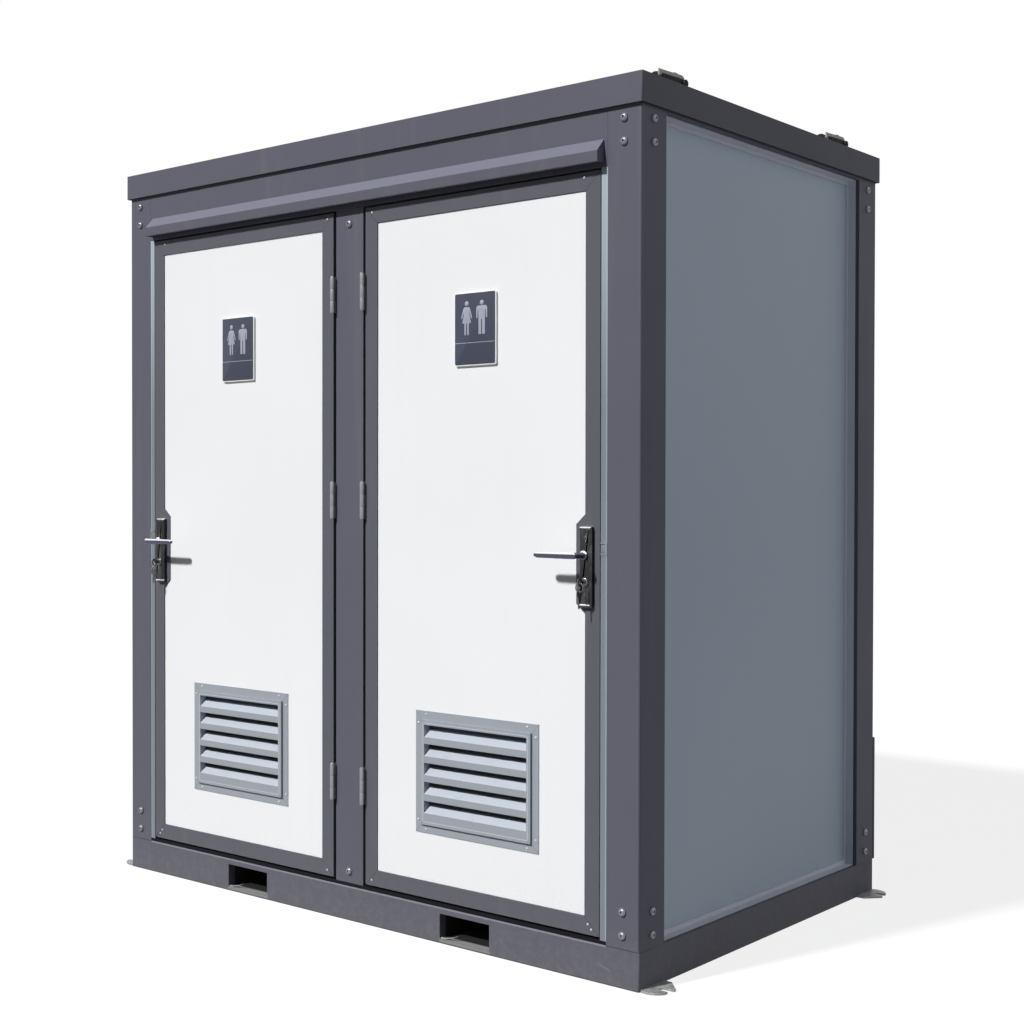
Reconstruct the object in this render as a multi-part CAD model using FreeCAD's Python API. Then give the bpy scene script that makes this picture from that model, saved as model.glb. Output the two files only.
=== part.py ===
import FreeCAD, Part
import math
import os

os.makedirs("parts", exist_ok=True)

V = FreeCAD.Vector

# Twin-stall toilet cabin. Millimetres, +Z up, the doors face -Y.
# The origin is the centre of the base's underside.

# Outer size, over the corner posts and the roof cap
WIDTH = 2100.0
DEPTH = 1320.0
HEIGHT = 2350.0

# Flat sides of the round pieces that repeat
SIDES = 10
HEAD_SIDES = 8
BOLT_SIDES = 6
WIRE_SIDES = 6
NECK_SIDES = 4
OVAL_SIDES = 16
RING_STEPS = 10

# Base frame
BASE_H = 102.0
BASE_FLANGE = 60.0
BASE_T = 4.0
FORK_W = 184.0
FORK_H = 72.0
FORK_FLOOR = 12.0
FORK_X = 456.0
FORK_TUBE_T = 3.0
JOIST_W = 40.0
JOIST_H = 60.0
JOIST_T = 4.0
JOIST_XS = (250.0, 750.0)
FLOOR_T = 18.0

# Anchor lugs at the four base corners
LUG_L = 112.0
LUG_OUT = 66.0
LUG_T = 6.0
LUG_SLOT_W = 22.0
LUG_SLOT_Y = 50.0
LUG_SLOT_IN = 38.0
LUG_TIP_Y = 28.0
LUG_CURVE_X = 36.0
LUG_SHOULDER_Y = 70.0
LUG_END_X = 26.0

# Corner posts
POST_FRONT_W = 105.0
POST_SIDE_W = 115.0
POST_T = 4.0
POST_R = 5.0

# Spigots inside the post ends
SPIGOT_T = 5.0
SPIGOT_LEN = 128.0
SPIGOT_GAP = 0.3

# Dome-head bolts
BOLT_R = 6.0
BOLT_HEAD_R = 12.0
BOLT_HEAD_H = 8.0
BOLT_CROWN = 0.55
BOLT_HOLE_GAP = 0.1
BOLT_PITCH = 61.0
BOLT_LOW = 35.0
BOLT_HIGH = 109.0

# Centre post between the doors
CENTRE_W = 114.0
CENTRE_RECESS = 2.0
CENTRE_STOP_W = 24.0
CENTRE_STOP_D = 40.0
CENTRE_BOLT_Z = 45.0

# Roof
CAP_OVER = 10.0
CAP_H = 78.0
CAP_T = 3.0
RAIL_H = 83.0
RAIL_FLANGE = 50.0
RAIL_T = 3.0
HEADER_FACE = 142.0
CEILING_T = 60.0
CEILING_GAP = 2.0

# Walls and their light beads
WALL_RECESS = 38.0
WALL_T = 50.0
WALL_GAP = 2.0
BEAD_D = 26.0
BEAD_T = 3.0
BEAD_FOOT = 12.0
PARTITION_T = 40.0

# Doors
DOOR_SILL_GAP = 7.0
DOOR_TOP_GAP = 6.0
DOOR_HINGE_GAP = 11.0
DOOR_LOCK_GAP = 3.0
DOOR_RECESS = 1.0
DOOR_T = 42.0
DOOR_FRAME_W = 48.0
DOOR_BAR_T = 3.0
DOOR_PANEL_RECESS = 3.0
DOOR_PANEL_T = 30.0
DOOR_STOP_GAP = 2.0
STOP_T = 3.0

# Sill, jamb strips and strike lips
SILL_H = 10.0
SILL_STOP_H = 15.0
SILL_STOP_D = 12.0
JAMB_W = 20.0
JAMB_T = 3.0
JAMB_STOP_OUT = 40.0
KEEP_GAP = 4.0
LIP_T = 1.5
LIP_W = 7.0

# Rain visor over both doors
VISOR_OUT = 30.0
VISOR_UP = 73.0
VISOR_DROP = 34.0
VISOR_FACE = 28.0
VISOR_LIP = 12.0
VISOR_T = 2.0
VISOR_END = 12.0

# Door hinges
HINGE_FOOT_UP = 291.0
HINGE_TOP_DOWN = 246.0
HINGE_PITCH = 615.0
HINGE_LEN = 108.0
HINGE_R = 6.5
HINGE_PIN_R = 3.0
HINGE_PIN_GAP = 0.05
HINGE_OUT = 8.0
HINGE_LEAF_T = 3.0
HINGE_LEAF_W = 44.0
HINGE_LEAF_GAP = 1.0
KNUCKLES = 3
KNUCKLE_GAP = 0.4

# Louvre in each door
LOUVRE_W = 450.0
LOUVRE_H = 350.0
LOUVRE_UP = 361.0
LOUVRE_IN_W = 378.0
LOUVRE_IN_H = 276.0
LOUVRE_T = 2.0
LOUVRE_RIM = 9.0
LOUVRE_RIM_W = 12.0
LOUVRE_GAP = 1.0
BLADES = 5
BLADE_T = 2.0
BLADE_LIP = 19.0
BLADE_DEPTH = 34.0
BLADE_RISE = 32.0

# Lock: case, plates, lever, bolts, key
LOCK_UP = 997.0
LOCK_BACKSET = 39.0
CASE_OUT = 29.0
CASE_UP = 107.0
CASE_DOWN = 155.0
CASE_BEVEL = 26.0
PLATE_W = 40.0
PLATE_UP = 74.0
PLATE_DOWN = 137.0
PLATE_T = 16.0
PLATE_BEVEL = 5.0
PLATE_IN_W = 34.0
PLATE_IN_T = 8.0
CYLINDER_DOWN = 70.0
SPINDLE_R = 5.0
PLUG_R = 6.5
PLUG_PROUD = 1.0
RUNNING_GAP = 0.05
NECK_R = 8.0
LEVER_OFF = 64.0
LEVER_LEN = 128.0
LEVER_H = 18.0
LEVER_D = 11.0
LATCH_UP = 18.0
LATCH_H = 14.0
LATCH_D = 14.0
LATCH_LEN = 50.0
LATCH_OUT = 12.0
LATCH_BEVEL = 8.0
DEADBOLT_DOWN = 34.0
DEADBOLT_H = 20.0
DEADBOLT_GUIDE = 28.0
DEADBOLT_END_GAP = 2.0
BOLT_SLOT_GAP = 0.3
BOLT_Y = 14.0
KEY_OUT = 6.0
KEY_T = 2.5
KEY_BOW = 24.0
KEY_HOLE_R = 3.5
KEY_BLADE = 28.0
KEY_BLADE_W = 8.0
RING_R = 12.0
RING_WIRE_R = 1.0
RING_HANG = 0.5
TURN_H = 24.0
TURN_D = 16.0
TURN_T = 6.0

# Lifting brackets and eyes on the roof
LIFT_X_IN = 45.0
LIFT_Y_IN = 208.0
LIFT_LEN = 128.0
LIFT_W = 40.0
LIFT_H = 40.0
LIFT_T = 5.0
LIFT_TIP = 18.0
LIFT_TIP_RISE = 12.0
LIFT_PLATE_T = 4.0
EYE_R = 18.0
EYE_WIRE_R = 6.0
EYE_HEIGHT = 34.0
EYE_COLLAR_R = 14.0
EYE_COLLAR_H = 8.0
EYE_IN = 34.0

# Toilet, cistern, basin, tap and light in each stall
BOWL_W = 360.0
BOWL_L = 470.0
BOWL_H = 400.0
BOWL_FOOT_W = 210.0
BOWL_FOOT_L = 360.0
BOWL_FOOT_H = 140.0
BOWL_RIM = 38.0
BOWL_DEPTH = 230.0
BOWL_SUMP_W = 110.0
BOWL_SUMP_L = 140.0
SEAT_T = 18.0
SEAT_HOLE = 62.0
SEAT_GAP = 0.3
SEAT_HINGE_R = 7.0
SEAT_HINGE_W = 30.0
SEAT_PIN_R = 4.0
SEAT_PIN_LEN = 150.0
SEAT_EAR_W = 18.0
SEAT_NOTCH_W = 120.0
SEAT_ARM = 22.0
LID_T = 12.0
LID_RISER_BACK = 5.5
LID_LEAN = 8.0
BOWL_BACK_GAP = 80.0
CISTERN_W = 380.0
CISTERN_D = 150.0
CISTERN_H = 340.0
CISTERN_T = 8.0
CISTERN_UP = 440.0
BUTTON_R = 22.0
BUTTON_H = 14.0
BUTTON_GAP = 0.4
BUTTON_SHOW = 5.0
BASIN_W = 300.0
BASIN_D = 260.0
BASIN_H = 120.0
BASIN_T = 12.0
BASIN_R = 30.0
BASIN_CHAMFER = 10.0
BASIN_UP = 730.0
BASIN_Y = -300.0
TAP_R = 13.0
TAP_H = 90.0
TAP_BACK = 39.0
TAP_STEM_R = 6.5
TAP_STEM_H = 11.0
TAP_SPOUT = 95.0
TAP_SPOUT_UP = 54.0
TAP_SPOUT_R = 8.0
TAP_NOSE = 16.0
TAP_CAP_R = 17.0
TAP_CAP_H = 22.0
TAP_TRAVEL = 6.0
TAP_GAP = 0.5
TRAP_R = 16.0
TRAP_DROP = 80.0
LIGHT_L = 300.0
LIGHT_W = 110.0
LIGHT_H = 42.0
LIGHT_R = 20.0
WASTE_R = 55.0
WASTE_T = 4.0
WASTE_UP = 85.0
WASTE_OUT = 60.0
WASTE_HORN = 12.0
WASTE_HORN_IN = 120.0
WATER_R = 13.0
WATER_OUT = 32.0
PIPE_FLANGE = 9.0
PIPE_FLANGE_T = 8.0
PIPE_GAP = 3.0
FLUSH_R = 22.0
FLUSH_DROP = 105.0
WATER_X = 130.0

# Cover over the service space low on the rear
COVER_H = 391.0
COVER_T = 2.0
COVER_BOLT_GAP = 1.0

# Worked-out places
HX = WIDTH / 2
HY = DEPTH / 2
FRONT = -HY
FRAME_TOP = HEIGHT - CAP_T
POST_X = HX - POST_FRONT_W
POST_Y = HY - POST_SIDE_W
RAIL_Z = FRAME_TOP - RAIL_H
DOOR_HEAD_Z = RAIL_Z - HEADER_FACE
VISOR_TOP_Z = DOOR_HEAD_Z + VISOR_UP
FORK_TOP = FORK_FLOOR + FORK_H + FORK_TUBE_T
FLOOR_TOP = FORK_TOP + FLOOR_T
WALL_OUT_X = HX - WALL_RECESS
WALL_IN_X = WALL_OUT_X - WALL_T
WALL_OUT_Y = HY - WALL_RECESS
WALL_IN_Y = WALL_OUT_Y - WALL_T
SILL_TOP = BASE_H + SILL_H
DOOR_X0 = CENTRE_W / 2 + DOOR_HINGE_GAP
DOOR_X1 = POST_X - JAMB_W - DOOR_LOCK_GAP
DOOR_Z0 = SILL_TOP + DOOR_SILL_GAP
DOOR_Z1 = DOOR_HEAD_Z - DOOR_TOP_GAP
DOOR_Y0 = FRONT + DOOR_RECESS
DOOR_Y1 = DOOR_Y0 + DOOR_T
STOP_Y = DOOR_Y1 + DOOR_STOP_GAP
PANEL_X0 = DOOR_X0 + DOOR_FRAME_W
PANEL_X1 = DOOR_X1 - DOOR_FRAME_W
PANEL_Z0 = DOOR_Z0 + DOOR_FRAME_W
PANEL_Z1 = DOOR_Z1 - DOOR_FRAME_W
PANEL_Y0 = DOOR_Y0 + DOOR_PANEL_RECESS
PANEL_XC = (PANEL_X0 + PANEL_X1) / 2
HINGE_X = CENTRE_W / 2 + DOOR_HINGE_GAP / 2
HINGE_Y = FRONT - HINGE_OUT
HINGE_TOP_Z = DOOR_Z1 - HINGE_TOP_DOWN
HINGE_ZS = (DOOR_Z0 + HINGE_FOOT_UP, HINGE_TOP_Z - HINGE_PITCH, HINGE_TOP_Z)
LOUVRE_Z = DOOR_Z0 + LOUVRE_UP
LOCK_Z = DOOR_Z0 + LOCK_UP
SPINDLE_X = DOOR_X1 - LOCK_BACKSET
KEY_Z = LOCK_Z - CYLINDER_DOWN
LATCH_Z = LOCK_Z + LATCH_UP
DEADBOLT_Z = LOCK_Z - DEADBOLT_DOWN
DEADBOLT_THROW = DOOR_LOCK_GAP + JAMB_W - JAMB_T - DEADBOLT_END_GAP
DEADBOLT_LEN = DEADBOLT_THROW + DEADBOLT_GUIDE
BOLT_Y0 = DOOR_Y0 + BOLT_Y
STALL_XC = (PARTITION_T / 2 + WALL_IN_X) / 2
BOWL_YC = WALL_IN_Y - CISTERN_D - BOWL_BACK_GAP - BOWL_L / 2
BOWL_REAR = BOWL_YC + BOWL_L / 2
RIM_Z = FLOOR_TOP + BOWL_H
SEAT_HINGE_Y = BOWL_REAR - SEAT_HINGE_R - SEAT_GAP
SEAT_HINGE_Z = RIM_Z + SEAT_HINGE_R + SEAT_GAP
CISTERN_Z = FLOOR_TOP + CISTERN_UP
CISTERN_TOP = CISTERN_Z + CISTERN_H
BASIN_Z = FLOOR_TOP + BASIN_UP
BASIN_TOP = BASIN_Z + BASIN_H
TAP_X = WALL_IN_X - TAP_BACK
LIFT_X = HX + CAP_OVER - LIFT_X_IN - LIFT_W / 2
LIFT_Y = HY + CAP_OVER - LIFT_Y_IN
COVER_D = COVER_T + BOLT_HEAD_H + COVER_BOLT_GAP
FLUSH_Z = CISTERN_Z - FLUSH_DROP
WASTE_Z = FLOOR_TOP + WASTE_UP


def box(x0, x1, y0, y1, z0, z1):
    """Block between two corners."""
    return Part.makeBox(x1 - x0, y1 - y0, z1 - z0, V(x0, y0, z0))


def mid_box(xc, yc, z0, width, depth, height):
    """Block centred in plan on a point."""
    return box(xc - width / 2, xc + width / 2, yc - depth / 2, yc + depth / 2, z0, z0 + height)


def prism(points, along):
    """Face through a closed list of points, swept along a vector."""
    wire = Part.makePolygon(points + [points[0]])
    return Part.Face(wire).extrude(along)


def prism_x(points, x0, x1):
    """Outline in Y and Z, swept from x0 to x1."""
    return prism([V(x0, y, z) for y, z in points], V(x1 - x0, 0, 0))


def prism_y(points, y0, y1):
    """Outline in X and Z, swept from y0 to y1."""
    return prism([V(x, y0, z) for x, z in points], V(0, y1 - y0, 0))


def prism_z(points, z0, z1):
    """Outline in X and Y, swept from z0 to z1."""
    return prism([V(x, y, z0) for x, y in points], V(0, 0, z1 - z0))


def tube_y(xc, z0, width, height, length, wall):
    """Rectangular tube along Y, centred on y = 0, by its outer size."""
    outer = mid_box(xc, 0, z0, width, length, height)
    return outer.cut(mid_box(xc, 0, z0 + wall, width - 2 * wall, length, height - 2 * wall))


def rod(radius, start, along, sides=0):
    """Bar from a point along a vector: a true cylinder, or flat-sided when sides are given."""
    if not sides:
        return Part.makeCylinder(radius, along.Length, start, along)
    turn = FreeCAD.Rotation(V(0, 0, 1), along)
    points = [start + turn.multVec(V(a, b, 0)) for a, b in flat_sided(radius, radius, sides)]
    return prism(points, along)


def rod_x(radius, x0, x1, y, z, sides=0):
    return rod(radius, V(x0, y, z), V(x1 - x0, 0, 0), sides)


def rod_y(radius, x, y0, y1, z, sides=0):
    return rod(radius, V(x, y0, z), V(0, y1 - y0, 0), sides)


def rod_z(radius, x, y, z0, z1, sides=0):
    return rod(radius, V(x, y, z0), V(0, 0, z1 - z0), sides)


def flat_sided(half_wide, half_long, sides):
    """Points of a flat-sided oval round the origin, a flat square to each axis."""
    angles = [2 * math.pi * (number + 0.5) / sides for number in range(sides)]
    return [(half_wide * math.cos(angle), half_long * math.sin(angle)) for angle in angles]


def bore_radius(radius, gap, sides):
    """Corner radius of a flat-sided bore whose flats clear a round bar by the gap."""
    return (radius + gap) / math.cos(math.pi / sides)


def oval(xc, yc, width, length):
    """Flat-sided oval in plan."""
    return [(xc + a, yc + b) for a, b in flat_sided(width / 2, length / 2, OVAL_SIDES)]


def oval_ring(xc, yc, z, width, length):
    return [V(x, y, z) for x, y in oval(xc, yc, width, length)]


def skin(rings, closed=False):
    """Solid through rings of points in flat facets; closed joins the last ring to the first."""
    bands = list(zip(rings, rings[1:]))
    caps = [rings[0], rings[-1]]
    if closed:
        bands.append((rings[-1], rings[0]))
        caps = []
    outlines = [ring + [ring[0]] for ring in caps]
    for near, far in bands:
        for side in range(len(near)):
            after = (side + 1) % len(near)
            outlines.append([near[side], near[after], far[after], near[side]])
            outlines.append([near[side], far[after], far[side], near[side]])
    shell = Part.Shell([Part.Face(Part.makePolygon(outline)) for outline in outlines])
    solid = Part.Solid(shell).removeSplitter()
    if solid.Volume < 0:
        solid.reverse()
    return solid


def round_ring(centre, out, radius, wire_radius):
    """Closed upright ring of round wire, in the plane of Z and a level unit vector."""
    up = V(0, 0, 1)
    across = out.cross(up)
    rings = []
    for step in range(RING_STEPS):
        turn = 2 * math.pi * (step + 0.5) / RING_STEPS
        ray = out * math.cos(turn) + up * math.sin(turn)
        rings.append([centre + ray * (radius + a) + across * b
                      for a, b in flat_sided(wire_radius, wire_radius, WIRE_SIDES)])
    return skin(rings, True)


def mirror_x(shape):
    return shape.mirror(V(0, 0, 0), V(1, 0, 0))


def mirror_y(shape):
    return shape.mirror(V(0, 0, 0), V(0, 1, 0))


def pair(shape):
    """The right-hand piece and its left-hand mirror image."""
    return [shape, mirror_x(shape)]


def four(shape):
    """A piece of the front right corner repeated at all four corners."""
    return pair(shape) + pair(mirror_y(shape))


def round_edges(shape, radius, wanted):
    """Fillet the edges that a test picks out."""
    return shape.makeFillet(radius, [edge for edge in shape.Edges if wanted(edge)])


def upright(edge):
    """True for a straight edge along Z."""
    start, end = edge.Vertexes[0].Point, edge.Vertexes[-1].Point
    return abs(start.x - end.x) < 1e-6 and abs(start.y - end.y) < 1e-6


def save(name, shapes):
    """Write one node and check that each of its solids is closed and valid."""
    solids = [solid for shape in shapes for solid in shape.Solids]
    for solid in solids:
        if not solid.isValid() or solid.Volume <= 0:
            raise ValueError("bad solid in " + name)
    Part.makeCompound(solids).exportStep("parts/" + name + ".step")
    print(name, len(solids), "solids", round(sum(s.Volume for s in solids) / 1000), "cm3")


# Base

def base_end_beam():
    """Front beam: a channel open to the inside, with two fork windows."""
    y0 = FRONT
    outer = box(-HX, HX, y0, y0 + BASE_FLANGE, 0, BASE_H)
    hollow = box(-HX + BASE_T, HX - BASE_T, y0 + BASE_T, y0 + BASE_FLANGE, BASE_T, BASE_H - BASE_T)
    beam = outer.cut(hollow)
    for side in (-1, 1):
        beam = beam.cut(mid_box(side * FORK_X, y0, FORK_FLOOR, FORK_W, 2 * BASE_FLANGE, FORK_H))
    return round_edges(beam, POST_R, lambda e: upright(e) and at_corner(e, y0))


def at_corner(edge, y0):
    point = edge.Vertexes[0].Point
    return abs(abs(point.x) - HX) < 1e-6 and abs(point.y - y0) < 1e-6


def fork_tube(side):
    """Rectangular sleeve from the front beam's web to the rear one's."""
    wall = FORK_TUBE_T
    return tube_y(side * FORK_X, FORK_FLOOR - wall, FORK_W + 2 * wall, FORK_H + 2 * wall,
                  DEPTH - 2 * BASE_T, wall)


def base_members():
    """Side channels, joists under the floor and the spigots for the posts."""
    y1 = HY - BASE_FLANGE
    outer = box(HX - BASE_FLANGE, HX, -y1, y1, 0, BASE_H)
    hollow = box(HX - BASE_FLANGE, HX - BASE_T, -y1, y1, BASE_T, BASE_H - BASE_T)
    members = pair(outer.cut(hollow))
    members.append(tube_y(0, 0, JOIST_W, FORK_TOP, 2 * y1, JOIST_T))
    for x in JOIST_XS:
        members += pair(tube_y(x, FORK_TOP - JOIST_H, JOIST_W, JOIST_H, DEPTH - 2 * BASE_T, JOIST_T))
    return members + four(spigot(BASE_H))


def spigot(z0):
    """Tube stub that a corner post slips over; the bolts end at its face."""
    reach = POST_T + SPIGOT_GAP
    x0, x1 = POST_X + reach, HX - reach
    y0, y1 = FRONT + reach, -POST_Y - reach
    outer = box(x0, x1, y0, y1, z0, z0 + SPIGOT_LEN)
    bore = box(x0 + SPIGOT_T, x1 - SPIGOT_T, y0 + SPIGOT_T, y1 - SPIGOT_T, z0, z0 + SPIGOT_LEN)
    return outer.cut(bore)


def anchor_lug():
    """Curved ear at the front right corner with an open slot for a ground anchor."""
    x1 = HX + LUG_OUT
    start = V(HX, FRONT + LUG_T, 0)
    tip = V(x1 - LUG_T, FRONT + LUG_TIP_Y, 0)
    middle = V(HX + LUG_CURVE_X, FRONT + LUG_T, 0)
    edges = [Part.Arc(start, middle, tip).toShape()]
    outline = [tip, V(x1, FRONT + LUG_SHOULDER_Y, 0), V(HX + LUG_END_X, FRONT + LUG_L, 0),
               V(HX, FRONT + LUG_L, 0), start]
    for first, second in zip(outline, outline[1:]):
        edges.append(Part.LineSegment(first, second).toShape())
    plate = Part.Face(Part.Wire(edges)).extrude(V(0, 0, LUG_T))
    slot_x = HX + LUG_SLOT_IN
    slot_y = FRONT + LUG_SLOT_Y
    slot = rod_z(LUG_SLOT_W / 2, slot_x, slot_y, 0, LUG_T, SIDES)
    mouth = box(slot_x, x1, slot_y - LUG_SLOT_W / 2, slot_y + LUG_SLOT_W / 2, 0, LUG_T)
    return plate.cut(slot.fuse(mouth))


def floor_panel():
    y0 = FRONT + BASE_FLANGE + WALL_GAP
    panel = box(-WALL_IN_X, WALL_IN_X, y0, WALL_IN_Y, FORK_TOP, FLOOR_TOP)
    notch = box(POST_X - WALL_GAP, HX, FRONT, -POST_Y + WALL_GAP, FORK_TOP, FLOOR_TOP)
    return panel.cut(four(notch))


def door_sill():
    """Threshold with a step that stops both doors and a ramp to the floor."""
    y0 = DOOR_Y0
    top = SILL_TOP + SILL_STOP_H
    ramp_y = STOP_Y + CENTRE_STOP_D - WALL_GAP
    outline = [(y0, BASE_H), (y0, SILL_TOP), (STOP_Y, SILL_TOP), (STOP_Y, top),
               (STOP_Y + SILL_STOP_D, top), (ramp_y, FLOOR_TOP + 1), (ramp_y, FLOOR_TOP),
               (FRONT + BASE_FLANGE, FLOOR_TOP), (FRONT + BASE_FLANGE, BASE_H)]
    return prism_x(outline, -POST_X, POST_X)


# Frame above the base

def bolt_places():
    """Height of each bolt at a corner post, counted from the ground."""
    low, high = BASE_H + BOLT_LOW, HEIGHT - BOLT_HIGH
    return [low, low + BOLT_PITCH, high, high - BOLT_PITCH]


def bolt_axes():
    """Start point on the post's face and inward direction of each bolt."""
    xc = HX - POST_FRONT_W / 2
    yc = FRONT + POST_SIDE_W / 2
    axes = []
    for z in bolt_places():
        axes.append((V(xc, FRONT, z), V(0, 1, 0)))
        axes.append((V(HX, yc, z), V(-1, 0, 0)))
    return axes


def drill_bolts(post):
    """Holes for the bolts through the wall of the front right post."""
    for start, inward in bolt_axes():
        post = post.cut(rod(BOLT_R + BOLT_HOLE_GAP, start, inward * POST_T, NECK_SIDES))
    return post


def corner_post():
    """Closed folded section of the front right corner."""
    outer = box(POST_X, HX, FRONT, -POST_Y, BASE_H, FRAME_TOP)
    outer = round_edges(outer, POST_R, lambda e: upright(e) and at_corner(e, FRONT))
    bore = box(POST_X + POST_T, HX - POST_T, FRONT + POST_T, -POST_Y - POST_T, BASE_H, FRAME_TOP)
    return drill_bolts(outer.cut(bore))


def dome_bolt(start, inward):
    """Bolt with a domed head on the face and its square neck through the wall of the post."""
    turn = FreeCAD.Rotation(V(0, 0, 1), inward)
    rings = []
    for rise, share in ((0, 1), (BOLT_HEAD_H, BOLT_CROWN)):
        middle = start - inward * rise
        rings.append([middle + turn.multVec(V(a * share, b * share, 0))
                      for a, b in flat_sided(BOLT_HEAD_R, BOLT_HEAD_R, BOLT_SIDES)])
    neck = rod(BOLT_R, start, inward * (POST_T + SPIGOT_GAP), NECK_SIDES)
    return skin(rings).fuse(neck).removeSplitter()


def frame_bolts():
    bolts = []
    for start, inward in bolt_axes():
        bolts += four(dome_bolt(start, inward))
    for z in centre_bolt_places():
        bolts.append(dome_bolt(V(0, FRONT + CENTRE_RECESS, z), V(0, 1, 0)))
    return bolts


def centre_bolt_places():
    return [BASE_H + CENTRE_BOLT_Z, DOOR_HEAD_Z - CENTRE_BOLT_Z]


def centre_post():
    """Post between the doors, with a wider back that both doors close against."""
    y0 = FRONT + CENTRE_RECESS
    half, wide = CENTRE_W / 2, CENTRE_W / 2 + DOOR_HINGE_GAP + CENTRE_STOP_W
    outline = [(-half, y0), (half, y0), (half, STOP_Y), (wide, STOP_Y),
               (wide, STOP_Y + CENTRE_STOP_D), (-wide, STOP_Y + CENTRE_STOP_D),
               (-wide, STOP_Y), (-half, STOP_Y)]
    z0 = SILL_TOP + SILL_STOP_H
    post = prism_z(outline, z0, DOOR_HEAD_Z)
    foot = box(-half, half, y0, STOP_Y, SILL_TOP, z0)
    post = post.fuse(foot).removeSplitter()
    t = POST_T
    bore = box(-half + t, half - t, y0 + t, STOP_Y, SILL_TOP, DOOR_HEAD_Z)
    back = box(-wide + t, wide - t, STOP_Y + t, STOP_Y + CENTRE_STOP_D - t, z0, DOOR_HEAD_Z)
    post = post.cut([bore, back])
    for z in centre_bolt_places():
        post = post.cut(rod_y(BOLT_R + BOLT_HOLE_GAP, 0, y0, y0 + POST_T, z, NECK_SIDES))
    return post


def header_rail():
    """Front rail over both doors, with a ledge for the ceiling and a stop for the doors."""
    y0, y1 = FRONT, STOP_Y + STOP_T
    ledge = FRONT + RAIL_FLANGE
    t = RAIL_T
    top, bottom, shelf = FRAME_TOP, DOOR_HEAD_Z, RAIL_Z
    stop = DOOR_HEAD_Z - CENTRE_STOP_W
    outline = [(y0, bottom), (y0, top), (ledge, top), (ledge, top - t), (y0 + t, top - t),
               (y0 + t, shelf + t), (ledge, shelf + t), (ledge, shelf), (y0 + t, shelf),
               (y0 + t, bottom + t), (y1, bottom + t), (y1, stop), (STOP_Y, stop), (STOP_Y, bottom)]
    rail = prism_x(outline, -POST_X, POST_X)
    wide = CENTRE_W / 2 + DOOR_HINGE_GAP + CENTRE_STOP_W
    return rail.cut(box(-wide, wide, STOP_Y, y1 + 1, stop - 1, bottom))


def channel(length):
    """Rail with its web on the outside and both flanges inward, along Y from 0."""
    outline = [(0, 0), (-RAIL_FLANGE, 0), (-RAIL_FLANGE, RAIL_T), (-RAIL_T, RAIL_T),
               (-RAIL_T, RAIL_H - RAIL_T), (-RAIL_FLANGE, RAIL_H - RAIL_T),
               (-RAIL_FLANGE, RAIL_H), (0, RAIL_H)]
    return prism_y(outline, -length / 2, length / 2)


def top_rails():
    """Side and rear rails under the roof cap, and the spigots in the post tops."""
    side = channel(2 * POST_Y)
    side.translate(V(HX, 0, RAIL_Z))
    rear = channel(2 * POST_X)
    rear.rotate(V(0, 0, 0), V(0, 0, 1), 90)
    rear.translate(V(0, HY, RAIL_Z))
    return pair(side) + [rear] + four(spigot(RAIL_Z + RAIL_T - SPIGOT_LEN))


def roof_cap():
    """Shallow tray turned over the top of the frame."""
    x, y = HX + CAP_OVER, HY + CAP_OVER
    z0 = HEIGHT - CAP_H
    outer = box(-x, x, -y, y, z0, HEIGHT)
    outer = round_edges(outer, POST_R, upright)
    hollow = box(-x + CAP_T, x - CAP_T, -y + CAP_T, y - CAP_T, z0, FRAME_TOP)
    return outer.cut(hollow)


def ceiling_panel():
    x, y = HX - RAIL_T - CEILING_GAP, HY - RAIL_T - CEILING_GAP
    z0 = RAIL_Z + RAIL_T
    panel = box(-x, x, -y, y, z0, z0 + CEILING_T)
    notch = box(POST_X - CEILING_GAP, HX, FRONT, -POST_Y + CEILING_GAP, z0, z0 + CEILING_T)
    return panel.cut(four(notch))


def rain_visor():
    """Folded hood over both doors: sloped top, upright face, lip and closed ends."""
    x = POST_X - VISOR_END
    y0, z0, t = FRONT, VISOR_TOP_Z, VISOR_T
    y1, z1 = y0 - VISOR_OUT, z0 - VISOR_DROP
    z2 = z1 - VISOR_FACE
    lean = math.hypot(VISOR_OUT, VISOR_DROP) / VISOR_OUT * t
    outline = [(y0, z0), (y1, z1), (y1, z2), (y1 + VISOR_LIP, z2), (y1 + VISOR_LIP, z2 + t),
               (y1 + t, z2 + t), (y1 + t, z1 + t * VISOR_DROP / VISOR_OUT - lean), (y0, z0 - lean)]
    hood = prism_x(outline, -x, x)
    end = [(y0, z0), (y1, z1), (y1, z2), (y0, z2)]
    for x0 in (-x, x - t):
        hood = hood.fuse(prism_x(end, x0, x0 + t))
    return hood.removeSplitter()


def jamb_strip():
    """Rebated strip beside the front right post: face, return and door stop."""
    x0, x1 = POST_X - JAMB_W, POST_X
    outline = [(x0, DOOR_Y0), (x1, DOOR_Y0), (x1, STOP_Y + STOP_T),
               (x1 - JAMB_STOP_OUT, STOP_Y + STOP_T), (x1 - JAMB_STOP_OUT, STOP_Y),
               (x1 - JAMB_T, STOP_Y), (x1 - JAMB_T, DOOR_Y0 + JAMB_T), (x0, DOOR_Y0 + JAMB_T)]
    low, high = SILL_TOP, DOOR_HEAD_Z - CENTRE_STOP_W
    strip = prism_z(outline, SILL_TOP + SILL_STOP_H, high)
    foot = box(x0, x1, DOOR_Y0, DOOR_Y0 + JAMB_T, low, SILL_TOP + SILL_STOP_H)
    head = box(x0, x1, DOOR_Y0, DOOR_Y0 + JAMB_T, high, DOOR_HEAD_Z)
    strip = strip.fuse([foot, head]).removeSplitter()
    return strip.cut(keep(DOOR_Y0, DOOR_Y0 + JAMB_T))


def keep_half():
    """Half height of the keep that the latch rests in."""
    return LATCH_H / 2 + KEEP_GAP


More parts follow.
